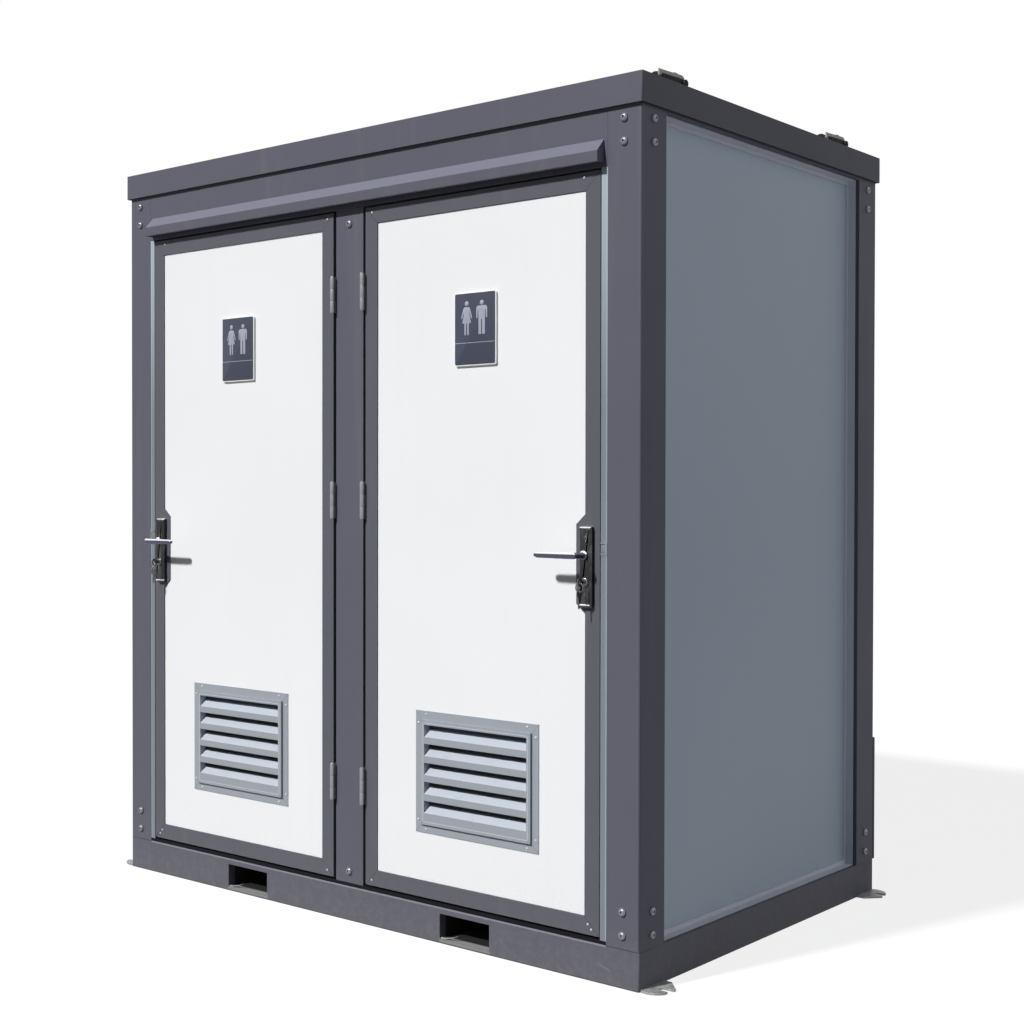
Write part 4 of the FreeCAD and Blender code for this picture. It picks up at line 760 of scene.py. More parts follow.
NODE_FINISHES: dict[str, Finish] = {node: finish for finish, nodes in (
    (BEAM_PAINT, "base_beam_front"),
    (FRAME_PAINT, "base_beam_rear base_members corner_post_front corner_posts_rear centre_post "
     "header_rail top_rails rear_service_cover"),
    (TUBE_PAINT, "fork_tubes"),
    (GALVANISED, "anchor_lugs"),
    (TREAD, "floor_panel"),
    (SILL_METAL, "door_sill"),
    (BOLT_STEEL, "frame_bolts latch_bolt deadbolt"),
    (CAP_PAINT, "roof_cap"),
    (WHITE_SHEET, "ceiling_panel partition_wall door_panel"),
    (VISOR_PAINT, "rain_visor"),
    (JAMB_METAL, "jamb_strips"),
    (WALL_SHEET, "side_wall_panels rear_wall_panel"),
    (BEAD_METAL, "wall_beads"),
    (PIPE_PLASTIC, "service_pipes"),
    (HINGE_STEEL, "frame_hinges door_hinge_leaves"),
    (BRACKET_METAL, "lifting_brackets"),
    (FORGED, "lifting_eyes"),
    (CERAMIC, "toilet_bowls wash_basins"),
    (WHITE_PLASTIC, "cisterns toilet_seat toilet_lid"),
    (CHROME, "taps flush_button tap_cap"),
    (LENS, "ceiling_lights"),
    (BAR_PAINT, "door_frame"),
    (LOUVRE_METAL, "door_louvre"),
    (LOCK_PLATE, "lock_plates"),
    (LEVER_METAL, "lever_set"),
    (KEY_METAL, "key_plug key_ring"),
) for node in nodes.split()}


# Shapes: rows of points on a grid of two parameters


@dataclass
class Shell:
    """Closed surface on its way into a mesh."""

    points: Array
    faces: list[list[int]]

    def placed(self, at: Place = (0.0, 0.0, 0.0), facing: Facing = Facing.UP) -> "Shell":
        """Turn the shape to a facing and set it down."""
        return Shell(self.points @ np.array(facing.value, float) + np.array(at), self.faces)

    def mirrored(self, side: Side) -> "Shell":
        """The shape on its side of the cabin: X changes sign on the left, and so do its faces."""
        faces = self.faces if side is Side.RIGHT else [face[::-1] for face in self.faces]
        return Shell(self.points * (side.value, 1.0, 1.0), faces)

    def tipped(self, angle: float, y: float, z: float) -> "Shell":
        """Turn about a line along X.

        Args:
            angle: Angle in radians, positive from Y towards Z.
            y: Y of the line.
            z: Z of the line.

        Returns:
            A new shell.
        """
        cos, sin = math.cos(angle), math.sin(angle)
        turn = np.array(((1.0, 0.0, 0.0), (0.0, cos, sin), (0.0, -sin, cos)))
        pivot = np.array((0.0, y, z))
        return Shell((self.points - pivot) @ turn + pivot, self.faces)


def grid(points: Array, around: bool = True, caps: bool = True, loop: bool = False) -> Shell:
    """Quads between neighbouring points of a grid.

    Args:
        points: Rows by columns by 3.
        around: Joins the last column to the first.
        caps: Closes the first and last rows with a face each.
        loop: Joins the last row to the first instead.

    Returns:
        The shell.
    """
    rows, columns = points.shape[:2]
    index = np.arange(rows * columns).reshape(rows, columns)
    if loop:
        index = np.vstack((index, index[:1]))
        caps = False
    left = index if around else index[:, :-1]
    right = np.roll(index, -1, axis=1) if around else index[:, 1:]
    quads = np.stack((left[:-1], right[:-1], right[1:], left[1:]), axis=-1).reshape(-1, 4).tolist()
    if caps:
        quads += [index[0, ::-1].tolist(), index[-1].tolist()]
    return Shell(points.reshape(-1, 3), quads)


def mm(*rows: Sequence[float]) -> Array:
    """Rows of numbers that are given in thousandths of a metre."""
    return np.array(rows) / 1000.0


def angles(steps: int) -> Array:
    """Equal steps of a full turn, in radians."""
    return 2 * math.pi * np.arange(steps) / steps


def circle(steps: int) -> Array:
    """Points on the circle of radius 1."""
    return np.stack((np.cos(angles(steps)), np.sin(angles(steps))), axis=-1)


def smooth(t: Array) -> Array:
    """Smooth step from 0 to 1: 3 t^2 - 2 t^3."""
    return t * t * (3 - 2 * t)


def scaled(unit: Array, sizes: Array, x: Any, y: Any) -> Array:
    """Outlines: one of unit size times each size, each set down round its X and Y."""
    middles = np.stack(np.broadcast_arrays(sizes[:, 0] * 0.0 + x, y), axis=-1)
    return unit[None] * sizes[:, None] + middles[:, None]


def rings(outlines: Array, heights: Array) -> Array:
    """Grid of points from flat outlines, each at its height."""
    tall = np.broadcast_to(np.asarray(heights)[:, None, None], (*outlines.shape[:2], 1))
    return np.concatenate((outlines, tall), axis=2)


def lathe(profile: Sequence[tuple[float, float]], steps: int = 32, loop: bool = False) -> Shell:
    """Turned shape: x = r cos a, y = r sin a, z = h for each pair of radius and height; loop joins the ends."""
    pairs = np.array(profile, float)
    return grid(rings(pairs[:, :1, None] * circle(steps)[None], pairs[:, 1]), loop=loop)


def torus(radius: float, wire: float, steps: int = 40, wire_steps: int = 14) -> Shell:
    """Ring round Z: distance from Z is radius + wire cos b, height is wire sin b."""
    return lathe(circle(wire_steps) * wire + (radius, 0.0), steps, loop=True)


def superoval(width: float, length: float, steps: int, power: float = 2.0) -> Array:
    """Outline with |x/a|^p + |y/b|^p = 1: a power p of 2 gives an ellipse, and a larger one is squarer."""
    round_points = circle(steps)
    return np.sign(round_points) * np.abs(round_points) ** (2.0 / power) * (width / 2, length / 2)


def soft_corners(corners: Sequence[Sequence[float]], reach: float | Sequence[float], steps: int = 5,
                 closed: bool = True) -> Array:
    """Line whose corners are parabolas: (1-t)^2 A + 2t(1-t) C + t^2 B, with A and B on the corner's sides.

    Args:
        corners: The corner points C, of two or three numbers.
        reach: How far A and B lie from C; it is held to 0.49 of the shorter side.
        steps: Points on each corner.
        closed: Whether the last corner joins the first.

    Returns:
        Points along the line.
    """
    middle = np.array(corners, float)
    before = np.roll(middle, 1, axis=0) - middle
    after = np.roll(middle, -1, axis=0) - middle
    if not closed:
        before[0] = after[-1] = 0.0
    near = np.linalg.norm(before, axis=1, keepdims=True)
    far = np.linalg.norm(after, axis=1, keepdims=True)
    held = np.minimum(np.broadcast_to(np.reshape(reach, (-1, 1)), near.shape), 0.49 * np.minimum(near, far))
    start = middle + before / np.maximum(near, 1e-9) * held
    end = middle + after / np.maximum(far, 1e-9) * held
    t = np.linspace(0.0, 1.0, steps)[None, :, None]
    curve = (1 - t) ** 2 * start[:, None] + 2 * t * (1 - t) * middle[:, None] + t ** 2 * end[:, None]
    line = curve.reshape(-1, middle.shape[1])
    keep = np.linalg.norm(line - np.roll(line, 1, axis=0), axis=1) > 1e-7
    return line[keep]


def oblong(width: float, height: float, radius: float, steps: int = 5) -> Array:
    """Rectangle round the origin with soft corners."""
    a, b = width / 2, height / 2
    return soft_corners(((a, -b), (a, b), (-a, b), (-a, -b)), radius, steps)


def inset(outline: Array, distance: Array) -> Array:
    """Outlines moved inwards: each point goes along the mean normal of its two sides.

    Args:
        outline: Points by 2, anticlockwise.
        distance: One distance for each wanted outline.

    Returns:
        Outlines by points by 2.
    """
    ahead = np.roll(outline, -1, axis=0) - outline
    ahead /= np.maximum(np.linalg.norm(ahead, axis=1, keepdims=True), 1e-9)
    behind = np.roll(ahead, 1, axis=0)
    inward = np.stack((-(ahead + behind)[:, 1], (ahead + behind)[:, 0]), axis=-1)
    length = np.linalg.norm(inward, axis=1, keepdims=True)
    inward = inward / np.maximum(length, 1e-9) * np.minimum(2.0 / np.maximum(length, 1e-9), 1.6)
    return outline[None] + np.asarray(distance, float)[:, None, None] * inward[None]


def slab(outline: Array, depth: float, edge: float, both: bool = False, steps: int = 4) -> Shell:
    """Plate over an outline, its edge a quarter circle: inset e(1 - cos a) at depth d - e(1 - sin a).

    Args:
        outline: Points by 2, anticlockwise.
        depth: Thickness, from 0 up along Z.
        edge: Radius of the round edge.
        both: Rounds the lower edge as well.
        steps: Rows of points on each edge.

    Returns:
        The shell.
    """
    turn = np.linspace(0.0, math.pi / 2, steps)
    away, height = edge * (1 - np.cos(turn)), depth - edge * (1 - np.sin(turn))
    low_away, low_height = np.zeros(1), np.zeros(1)
    if both:
        low_away, low_height = away[::-1], (depth - height)[::-1]
    return grid(rings(inset(outline, np.concatenate((low_away, away))), np.concatenate((low_height, height))))


def sweep(outline: Array, path: Array, closed: bool = False, guide: Place = (0.0, 0.0, 1.0)) -> Shell:
    """Outline carried along a path: point + side * a + up * b, with side = path x guide.

    Args:
        outline: Points by 2.
        path: Points by 3.
        closed: Whether the path is a loop.
        guide: Direction that the path never takes.

    Returns:
        The shell.
    """
    if closed:
        along = np.roll(path, -1, axis=0) - np.roll(path, 1, axis=0)
    else:
        along = np.gradient(path, axis=0)
    along /= np.linalg.norm(along, axis=1, keepdims=True)
    side = np.cross(along, np.array(guide))
    side /= np.linalg.norm(side, axis=1, keepdims=True)
    up = np.cross(side, along)
    points = path[:, None] + side[:, None] * outline[None, :, :1] + up[:, None] * outline[None, :, 1:]
    return grid(points, loop=closed)


def bent(outline: Array, corners: Sequence[Place], reach: float, steps: int, guide: Place) -> Shell:
    """Bar, pipe or strip: an outline carried along an open line with soft corners."""
    return sweep(outline, soft_corners(corners, reach, steps, False), guide=guide)


def bar(radius: float, length: float, edge: float = 0.0008, steps: int = 24) -> Shell:
    """Round bar up from the origin with softened ends.

    Args:
        radius: Its radius.
        length: Its length.
        edge: Size of the softened edges.
        steps: Number of angles.

    Returns:
        The shell.
    """
    end, cut = radius - edge, 0.3 * edge
    return lathe(((end, 0.0), (radius - cut, cut), (radius, edge), (radius, length - edge),
                  (radius - cut, length - cut), (end, length)), steps)


def piece(name: str, shells: Iterable[Shell], finish: Finish, body: str,
          replaces: Sequence[str] = (), angle: float = 38.0) -> bpy.types.Object:
    """One visible piece: the shells in one mesh, dressed and riding on its body.

    Args:
        name: Name of the object.
        shells: Closed shells.
        finish: Its finish.
        body: Body of the part that it moves with.
        replaces: Nodes that it stands for.
        angle: Edges sharper than this many degrees stay crisp.

    Returns:
        The object.
    """
    points: list[Array] = []
    faces: list[list[int]] = []
    start = 0
    for shell in shells:
        points.append(shell.points)
        faces += [[start + corner for corner in face] for face in shell.faces]
        start += len(shell.points)
    mesh = bpy.data.meshes.new(name)
    mesh.from_pydata(np.concatenate(points).tolist(), [], faces)
    tool = bmesh.new()
    tool.from_mesh(mesh)
    bmesh.ops.remove_doubles(tool, verts=tool.verts, dist=1e-6)
    bmesh.ops.recalc_face_normals(tool, faces=tool.faces)
    tool.to_mesh(mesh)
    tool.free()
    mesh.shade_smooth()
    mesh.set_sharp_from_angle(angle=math.radians(angle))
    mesh.materials.append(finish.material())
    made = bpy.data.objects.new(name, mesh)
    bpy.context.scene.collection.objects.link(made)
    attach(made, body)
    if replaces:
        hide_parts(*replaces)
    return made


# The cabin's own pieces


@dataclass
class PartDress:
    """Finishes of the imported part's own solids, and the small radius that folded steel has."""

    fold: float = 0.0009
    crisp: tuple[str, ...] = ("floor_panel", "ceiling_panel", "partition_wall", "side_wall_panels")
    fine: tuple[str, ...] = ("door_louvre", "wall_beads", "jamb_strips", "lock_plates", "door_hinge_leaves",
                             "frame_hinges", "rain_visor", "door_sill", "anchor_lugs")

    def dress(self) -> None:
        """Give every node its finish and its softened edges."""
        for name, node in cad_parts.items():
            kind = name.removesuffix("_right").removesuffix("_left")
            node.data.materials.clear()
            node.data.materials.append(NODE_FINISHES[kind].material())
            if kind not in self.crisp:
                self.soften(node, self.fold * (0.45 if kind in self.fine else 1.0))
        LOG.info("dressed %d solids", len(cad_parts))

    def soften(self, node: bpy.types.Object, width: float) -> None:
        """Join the loose triangles and round the sharp edges.

        Args:
            node: The solid's object.
            width: Size of the rounding.
        """
        weld = node.modifiers.new("join", "WELD")
        weld.merge_threshold = 0.00001
        bevel = node.modifiers.new("fold", "BEVEL")
        bevel.width = width
        bevel.segments = 2
        bevel.limit_method = "ANGLE"
        bevel.angle_limit = math.radians(32)
        bevel.miter_outer = "MITER_ARC"
        bevel.use_clamp_overlap = True


@dataclass
class FrameBolts:
    """Domed bolts at the posts' ends, each with a hexagonal socket and a square neck."""

    head: float = 0.0112
    rise: float = 0.0079
    socket: float = 0.0033
    socket_depth: float = 0.0036
    neck: float = 0.0085
    neck_length: float = 0.0043
    heights: tuple[float, ...] = (0.137, 0.198, 2.180, 2.241)
    centre_heights: tuple[float, ...] = (0.147, 2.077)
    front_x: float = 0.9975
    side_y: float = 0.6025

    def bolt(self) -> list[Shell]:
        """One bolt: r = R cos a over the dome, and r = s / cos(fold of a to one side) in the socket.

        Returns:
            The head with its socket, and the neck.
        """
        steps = 30
        hexagon = self.socket / np.cos((angles(steps) + math.pi / 6) % (math.pi / 3) - math.pi / 6)
        lean = np.linspace(0.0, math.radians(66), 8)
        radii = np.concatenate(((self.head,), self.head * np.cos(lean)))
        heights = np.concatenate(((0.0,), 0.0014 + (self.rise - 0.0014) * np.sin(lean) / math.sin(lean[-1])))
        rows = np.vstack((radii[:, None] * np.ones(steps), hexagon + 0.0003, hexagon, hexagon))
        heights = np.concatenate((heights, (self.rise, self.rise - 0.0004, self.rise - self.socket_depth)))
        neck = slab(oblong(self.neck, self.neck, 0.001), self.neck_length, 0.0003)
        return [grid(rings(rows[:, :, None] * circle(steps)[None], heights)),
                neck.placed((0.0, 0.0, -self.neck_length))]

    def build(self) -> None:
        """Set the bolts on the fronts, sides and rears of the posts."""
        made: list[Shell] = []
        for shell in self.bolt():
            for z in self.heights:
                for side in Side:
                    x = side.value
                    outward = Facing.RIGHT if side is Side.RIGHT else Facing.LEFT
                    made.append(shell.placed((x * self.front_x, FRONT, z), Facing.FRONT))
                    made.append(shell.placed((x * self.front_x, -FRONT, z), Facing.BACK))
                    made.append(shell.placed((x * POST_SIDE, -self.side_y, z), outward))
                    made.append(shell.placed((x * POST_SIDE, self.side_y, z), outward))
            for z in self.centre_heights:
                made.append(shell.placed((0.0, FRONT + 0.002, z), Facing.FRONT))
        piece("frame_bolt_heads", made, BOLT_STEEL, "cabin", ["frame_bolts"])
        LOG.info("frame bolts")


def screw(radius: float, rise: float) -> Shell:
    """Small pan-head screw with a round recess, from a table of shares of its radius and rise.

    Args:
        radius: Radius of the head.
        rise: Height of the head; its foot is sunk a little.

    Returns:
        The shell.
    """
    shares = ((1.0, 0.0), (1.0, 0.25), (0.9, 0.7), (0.66, 0.95), (0.34, 1.0), (0.28, 1.0), (0.22, 0.45))
    rows = np.array(shares) * (radius, rise)
    rows[0, 1] = -0.0004
    return lathe(rows, 18)


@dataclass
class SidePart:
    """What belongs to one side of the cabin: drawn on the right, and mirrored for the left."""

    side: Side

    def put(self, shells: Iterable[Shell]) -> list[Shell]:
        """The shells on this side of the cabin."""
        return [shell.mirrored(self.side) for shell in shells]

    def add(self, name: str, shells: Iterable[Shell], finish: Finish, body: str, slot: str,
            replaces: str = "", angle: float = 38.0) -> None:
        """One piece on this side. The side's word ends its name, and its body's and node's too.

        Args:
            name: Name of the piece.
            shells: Closed shells, drawn on the right.
            finish: Its finish.
            body: Body that it moves with; the cabin's has no side.
            slot: Not used.
            replaces: Node that it stands for.
            angle: Edges sharper than this many degrees stay crisp.
        """
        end = "_" + self.side.word
        piece(name + end, self.put(shells), finish, body if body == "cabin" else body + end,
              [replaces + end] if replaces else (), angle)


@dataclass
class SignPlate(SidePart):
    """Small sign on a door: dark face on a light plate, two raised figures and a bare lower band."""

    x: float = 0.497
    z: float = 1.732
    width: float = 0.150
    height: float = 0.202
    divider: float = -0.037
    figures_z: float = -0.0155
    head_up: float = 0.0875
    plate_thick: float = 0.0060

    def put(self, shells: Iterable[Shell]) -> list[Shell]:
        """The shells as they are: the figures read the same way on both doors."""
        return list(shells)

    def outline(self, half: Sequence[tuple[float, float]], reach: float) -> Array:
        """Whole outline of a figure from its right half, given from the top down in thousandths of a metre."""
        whole = [*reversed(half), *((-a, b) for a, b in half)]
        return soft_corners(mm(*whole).tolist(), reach, 4)

    def figures(self) -> list[Shell]:
        """The two pictograms: a disc for each head and one outline for each body.

        Returns:
            The shells, flat in their own first two axes.
        """
        dress = ((6.5, 78), (11.5, 75.5), (20.5, 47), (16.2, 45.2), (10.2, 63), (9.4, 60), (16.8, 33),
                 (8.2, 33), (8.2, 0), (1.9, 0), (1.9, 33), (0.7, 33))
        suit = ((14.5, 79), (19.8, 74), (19.8, 45), (14.8, 45), (14.8, 67), (13.3, 67), (11.8, 46), (11.8, 0),
                (1.6, 0), (1.6, 42), (0.5, 42))
        made: list[Shell] = []
        for half, offset in ((dress, -0.029), (suit, 0.026)):
            body = slab(self.outline(half, 0.0022), 0.0010, 0.0003)
            head = lathe(mm((6.8, 0), (6.8, 0.7), (6.4, 1)), 28)
            made.append(body.placed((offset, self.figures_z, 0.0)))
            made.append(head.placed((offset, self.figures_z + self.head_up, 0.0)))
        return made

    def build(self) -> None:
        """Plate, face, divider and figures, all on the door."""
        x = self.side.value * self.x
        back = slab(oblong(self.width, self.height, 0.006), self.plate_thick + 0.0002, 0.0008)
        back = back.placed((x, PANEL_FACE, self.z), Facing.FRONT)
        self.add("sign_plate", [back], SIGN_EDGE, "door", "white_plastic")
        face_at = (x - 0.0017, PANEL_FACE - self.plate_thick, self.z + 0.0019)
        face = slab(oblong(self.width - 0.0040, self.height - 0.0042, 0.0050), 0.0012, 0.0004)
        self.add("sign_face", [face.placed(face_at, Facing.FRONT)], SIGN_FACE, "door", "plate_metal")
        raised_at = (face_at[0], face_at[1] - 0.0011, self.z)
        line = slab(oblong(self.width - 0.0060, 0.0016, 0.0007), 0.0007, 0.0002)
        shells = [line.placed((0.0, self.divider, 0.0))] + self.figures()
        self.add("sign_figures", [shell.placed(raised_at, Facing.FRONT) for shell in shells], SIGN_FIGURE,
                 "door", "white_plastic")
        LOG.info("sign %s", self.side.word)


@dataclass
class DoorTrim(SidePart):
    """Small things on one door: screws, louvre rivets, smooth hinge barrels and the seal behind it."""

    hinge_heights: tuple[float, ...] = (0.410, 1.255, 1.870)
    barrel: float = 0.0071
    knuckle: float = 0.036
    rivets: tuple[Pair, ...] = ((0.010, 0.036), (0.040, 0.010))
    stop_x: Pair = (0.072, 0.918)
    stop_z: Pair = (0.1225, 2.108)
    screws: tuple[Pair, ...] = ((0.869, 2.103), (0.886, 0.147), (0.897, 0.134), (0.094, 2.100), (0.094, 0.136))

    def small_screws(self) -> None:
        """Bar screws near the mitres and rivets near the corners of the louvre flange."""
        head = screw(0.0034, 0.0016)
        bars = [head.placed((x, DOOR_FACE, z), Facing.FRONT) for x, z in self.screws]
        self.add("bar_screws", bars, RIVET_STEEL, "door", "bolt_steel")
        a, b = LOUVRE_HALF
        rivet = lathe(mm((3.6, -0.4), (3.6, 0.4), (3, 1.2), (1.7, 1.8), (0.6, 2)), 18)
        places = [(PANEL_X + i * (a - from_side), PANEL_FACE - 0.002, LOUVRE_Z + j * (b - from_end))
                  for from_side, from_end in self.rivets for i in (-1, 1) for j in (-1, 1)]
        rivets = [rivet.placed(place, Facing.FRONT) for place in places]
        self.add("louvre_rivets", rivets, RIVET_STEEL, "door", "bolt_steel")

    def hinges(self) -> None:
        """Round sleeves over the knuckles, and the small heads of the pins."""
        sleeve = bar(self.barrel, self.knuckle - 0.0006, 0.0009, 28)
        cap = lathe(mm((5.2, -0.5), (5.2, 0.6), (4.3, 2), (2.2, 2.8), (0.8, 3)), 20)
        fixed: list[Shell] = []
        turning: list[Shell] = []
        for z in self.hinge_heights:
            half = 1.5 * self.knuckle
            for number in range(3):
                part = sleeve.placed((HINGE_X, HINGE_Y, z - half + number * self.knuckle + 0.0003))
                (turning if number == 1 else fixed).append(part)
            fixed.append(cap.placed((HINGE_X, HINGE_Y, z + half)))
            fixed.append(cap.placed((HINGE_X, HINGE_Y, z - half), Facing.DOWN))
        self.add("hinge_barrels", fixed, HINGE_STEEL, "cabin", "bolt_steel")
        self.add("door_knuckles", turning, HINGE_STEEL, "door", "bolt_steel")

    def seal(self) -> None:
        """Soft seal on the stop round the door opening, seen when the door is open."""
        (left, right), (low, high), y = self.stop_x, self.stop_z, DOOR_BACK + 0.0010
        path = soft_corners(((left, y, low), (right, y, low), (right, y, high), (left, y, high)), 0.004, 4)
        ring = sweep(superoval(0.0060, 0.0016, 12, 2.6)[:, ::-1], path, True, ALONG_Y)
        self.add("door_seal", [ring], RUBBER, "cabin", "white_plastic")

    def build(self) -> None:
        """All the small things of this door."""
        self.small_screws()
        self.hinges()
        self.seal()
        LOG.info("door trim %s", self.side.word)


@dataclass
class LockSet(SidePart):
    """Levers, cylinder and keys of one lock, and what the plate carries."""

    plate_out: float = 0.016
    plate_in: float = 0.008
    plate_up: float = 0.074
    plate_down: float = 0.137
    width_out: float = 0.0405
    width_in: float = 0.034
    screw_steps: Pair = (0.060, -0.122)
    guard_at: Place = (0.9325, -0.6570, 1.134)
    lever_off: float = 0.064
    lever_length: float = 0.128
    grip_high: float = 0.018
    grip_deep: float = 0.011
    bow: float = 0.012
    hole: float = 0.0035
    key_thick: float = 0.0025
    key_half: float = 0.0040
    ring: float = 0.012
    wire: float = 0.001

    def lever(self, y: float, outward: int) -> list[Shell]:
        """Collar, waisted neck and grip with soft edges.

        Args:
            y: Face of the door that the lever stands off.
            outward: -1 outside and 1 inside.

        Returns:
            The shells.
        """
        facing = Facing.FRONT if outward < 0 else Facing.BACK
        plate, off = (self.plate_out if outward < 0 else self.plate_in), self.lever_off
        foot = plate + 0.002
        neck = lathe(((0.0079, 0.0), (0.0079, foot), (0.0122, foot), (0.0122, foot + 0.0030),
                      (0.0112, foot + 0.0042), (0.0092, foot + 0.0048), (0.0078, foot + 0.008),
                      (0.0074, 0.5 * (plate + off)), (0.0078, off - 0.006), (0.0074, off - 0.001)), 32)
        a, tip = self.grip_high / 2, -self.lever_length
        grip = soft_corners(((a, -a), (a, a), (tip + 0.01, a * 0.86), (tip, a * 0.4), (tip, -a * 0.4),
                             (tip + 0.01, -a * 0.86)), (0.009, 0.009, 0.010, 0.006, 0.006, 0.010), 7)
        blade = slab(grip, self.grip_deep, 0.0032, True, 5)
        near = (SPINDLE_X, y + outward * off + self.grip_deep / 2, LOCK_Z)
        return [neck.placed((SPINDLE_X, y, LOCK_Z), facing), blade.placed(near, Facing.FRONT)]

    def levers(self) -> None:
        """Outer and inner lever on one spindle."""
        spindle = bar(0.005, DOOR_BACK - DOOR_FACE, 0.0003).placed((SPINDLE_X, DOOR_BACK, LOCK_Z), Facing.FRONT)
        shells = self.lever(DOOR_FACE, -1) + self.lever(DOOR_BACK, 1) + [spindle]
        self.add("door_levers", shells, LEVER_METAL, "lever", "lever_metal", "lever_set")

    def pillow(self, width: float, thick: float, bevel: float) -> Shell:
        """Plate whose rim slopes in a soft S: inset b s and height h - b (1 - s), with s a smooth step.

        Args:
            width: Width of its foot.
            thick: Height of its face.
            bevel: Reach of the sloping rim.

        Returns:
            The shell, its face up.
        """
        t = np.linspace(0.0, 1.0, 7)
        away = np.concatenate(((0.0,), bevel * t, (bevel + 0.0012, bevel + 0.0020)))
        low, face = thick - bevel * 1.15, thick - 0.0006
        height = np.concatenate(((0.0,), low + (face - low) * smooth(t), (thick - 0.0001, face)))
        outline = oblong(width, self.plate_up + self.plate_down, 0.003)
        return grid(rings(inset(outline, away), height))

    def plates(self) -> None:
        """Outer and inner plate, with what they carry."""
        middle = LOCK_Z + (self.plate_up - self.plate_down) / 2
        outer = self.pillow(self.width_out, self.plate_out, 0.0058)
        inner = self.pillow(self.width_in, self.plate_in, 0.0035)
        self.add("lock_cover_plates", [outer.placed((SPINDLE_X, DOOR_FACE, middle), Facing.FRONT),
                                       inner.placed((SPINDLE_X, DOOR_BACK, middle), Facing.BACK)],
                 LOCK_PLATE, "door", "plate_metal", "lock_plates", 50.0)
        head, y = screw(0.0042, 0.0013), DOOR_BACK + self.plate_in - 0.0006
        screws = [head.placed((SPINDLE_X, y, LOCK_Z + step), Facing.BACK) for step in self.screw_steps]
        self.add("plate_screws", screws, BOLT_STEEL, "door", "bolt_steel")
        tongue = slab(oblong(0.0150, 0.0210, 0.0006), 0.0020, 0.0003)
        self.add("latch_guard", [tongue.placed(self.guard_at, Facing.FRONT)], JAMB_METAL, "door", "jamb_metal")
        rose = lathe(mm((6.9, -0.4), (11.8, -0.4), (11.8, 1), (10.6, 2.2), (8.2, 2.6), (6.9, 2.2)), 32, True)
        spots = [rose.placed((SPINDLE_X, DOOR_FACE - self.plate_out, KEY_Z), Facing.FRONT),
                 rose.placed((SPINDLE_X, DOOR_BACK + self.plate_in, KEY_Z), Facing.BACK)]
        self.add("cylinder_roses", spots, KEY_METAL, "door", "key_metal")

    def key_bow(self, lift: float) -> Shell:
        """Flat bow with an off-centre hole: rows blend from the hole's circle to the outer one.

        Args:
            lift: How far the hole lies off the bow's centre, along the second axis.

        Returns:
            The shell, flat in its own first two axes.
        """
        inner, outer = circle(32) * self.hole + (0.0, lift), circle(32) * self.bow
        rows = np.stack((inner, outer * 0.94, outer, outer, outer * 0.94, inner))
        return grid(rings(rows, self.key_thick / 2 * np.array((-1.0, -1.0, -0.4, 0.4, 1.0, 1.0))), loop=True)

    def key_blade(self, length: float) -> Shell:
        """Blade with a notched edge, drawn from the bow's centre downwards.

        Args:
            length: From the bow's centre to the tip.

        Returns:
            The shell, flat in its own first two axes.
        """
        a, shoulder = self.key_half, -self.bow - 0.006
        cuts = [(a, -self.bow), (a, shoulder)]
        room = length + shoulder - 0.002
        for number in range(4):
            y = shoulder - room * (number + 0.35) / 4
            cuts += [(a * (0.15 + 0.25 * (number % 2)), y), (a * 0.8, y - room / 12)]
        points = [(-a, -self.bow * 0.8), (-a, -length + 0.002), (0.0, -length), *reversed(cuts)]
        return slab(soft_corners(points, 0.0004, 3), 0.0019, 0.0002, True, 3).placed((0.0, 0.0, -0.00095))

    def keys(self) -> None:
        """Key in the cylinder, the ring in its bow and the spare key below."""
        face = DOOR_FACE - self.plate_out
        bow_y = face - 0.006 - self.bow
        length = DOOR_BACK - DOOR_FACE + self.plate_out + self.plate_in + 0.002
        plug = bar(0.0065, length, 0.0005, 32).placed((SPINDLE_X, face - 0.001 + length, KEY_Z), Facing.FRONT)
        turn_piece = slab(oblong(0.006, 0.024, 0.0028), 0.016, 0.0018)
        back = DOOR_BACK + self.plate_in + 0.001
        in_bow = self.key_bow(-self.hole)
        flat = Shell(in_bow.points[:, [2, 1, 0]], [f[::-1] for f in in_bow.faces])
        stem = slab(oblong(0.0025, 0.008, 0.0008), 0.012, 0.0002)
        shells = [plug, turn_piece.placed((SPINDLE_X, back, KEY_Z), Facing.BACK),
                  flat.placed((SPINDLE_X, bow_y, KEY_Z)),
                  stem.placed((SPINDLE_X, face - 0.0005, KEY_Z), Facing.FRONT)]
        self.add("key_in_lock", shells, KEY_METAL, "plug", "key_metal", "key_plug")
        hole_y = bow_y - self.hole
        centre_z = KEY_Z - self.hole + self.wire + 0.0005 - self.ring
        ring = torus(self.ring, self.wire, 40, 10).placed((SPINDLE_X, hole_y, centre_z), Facing.FRONT)
        spare_z = centre_z - self.ring - self.hole - 0.0005
        spare = [Shell(shell.points[:, [2, 0, 1]], shell.faces).placed((SPINDLE_X, hole_y, spare_z))
                 for shell in (self.key_bow(2 * self.hole - self.wire), self.key_blade(0.040))]
        self.add("key_ring_and_spare", [ring] + spare, KEY_METAL, "keys", "key_metal", "key_ring")

    def build(self) -> None:
        """The whole lock of this door."""
        self.levers()
        self.plates()
        self.keys()
        LOG.info("lock %s", self.side.word)


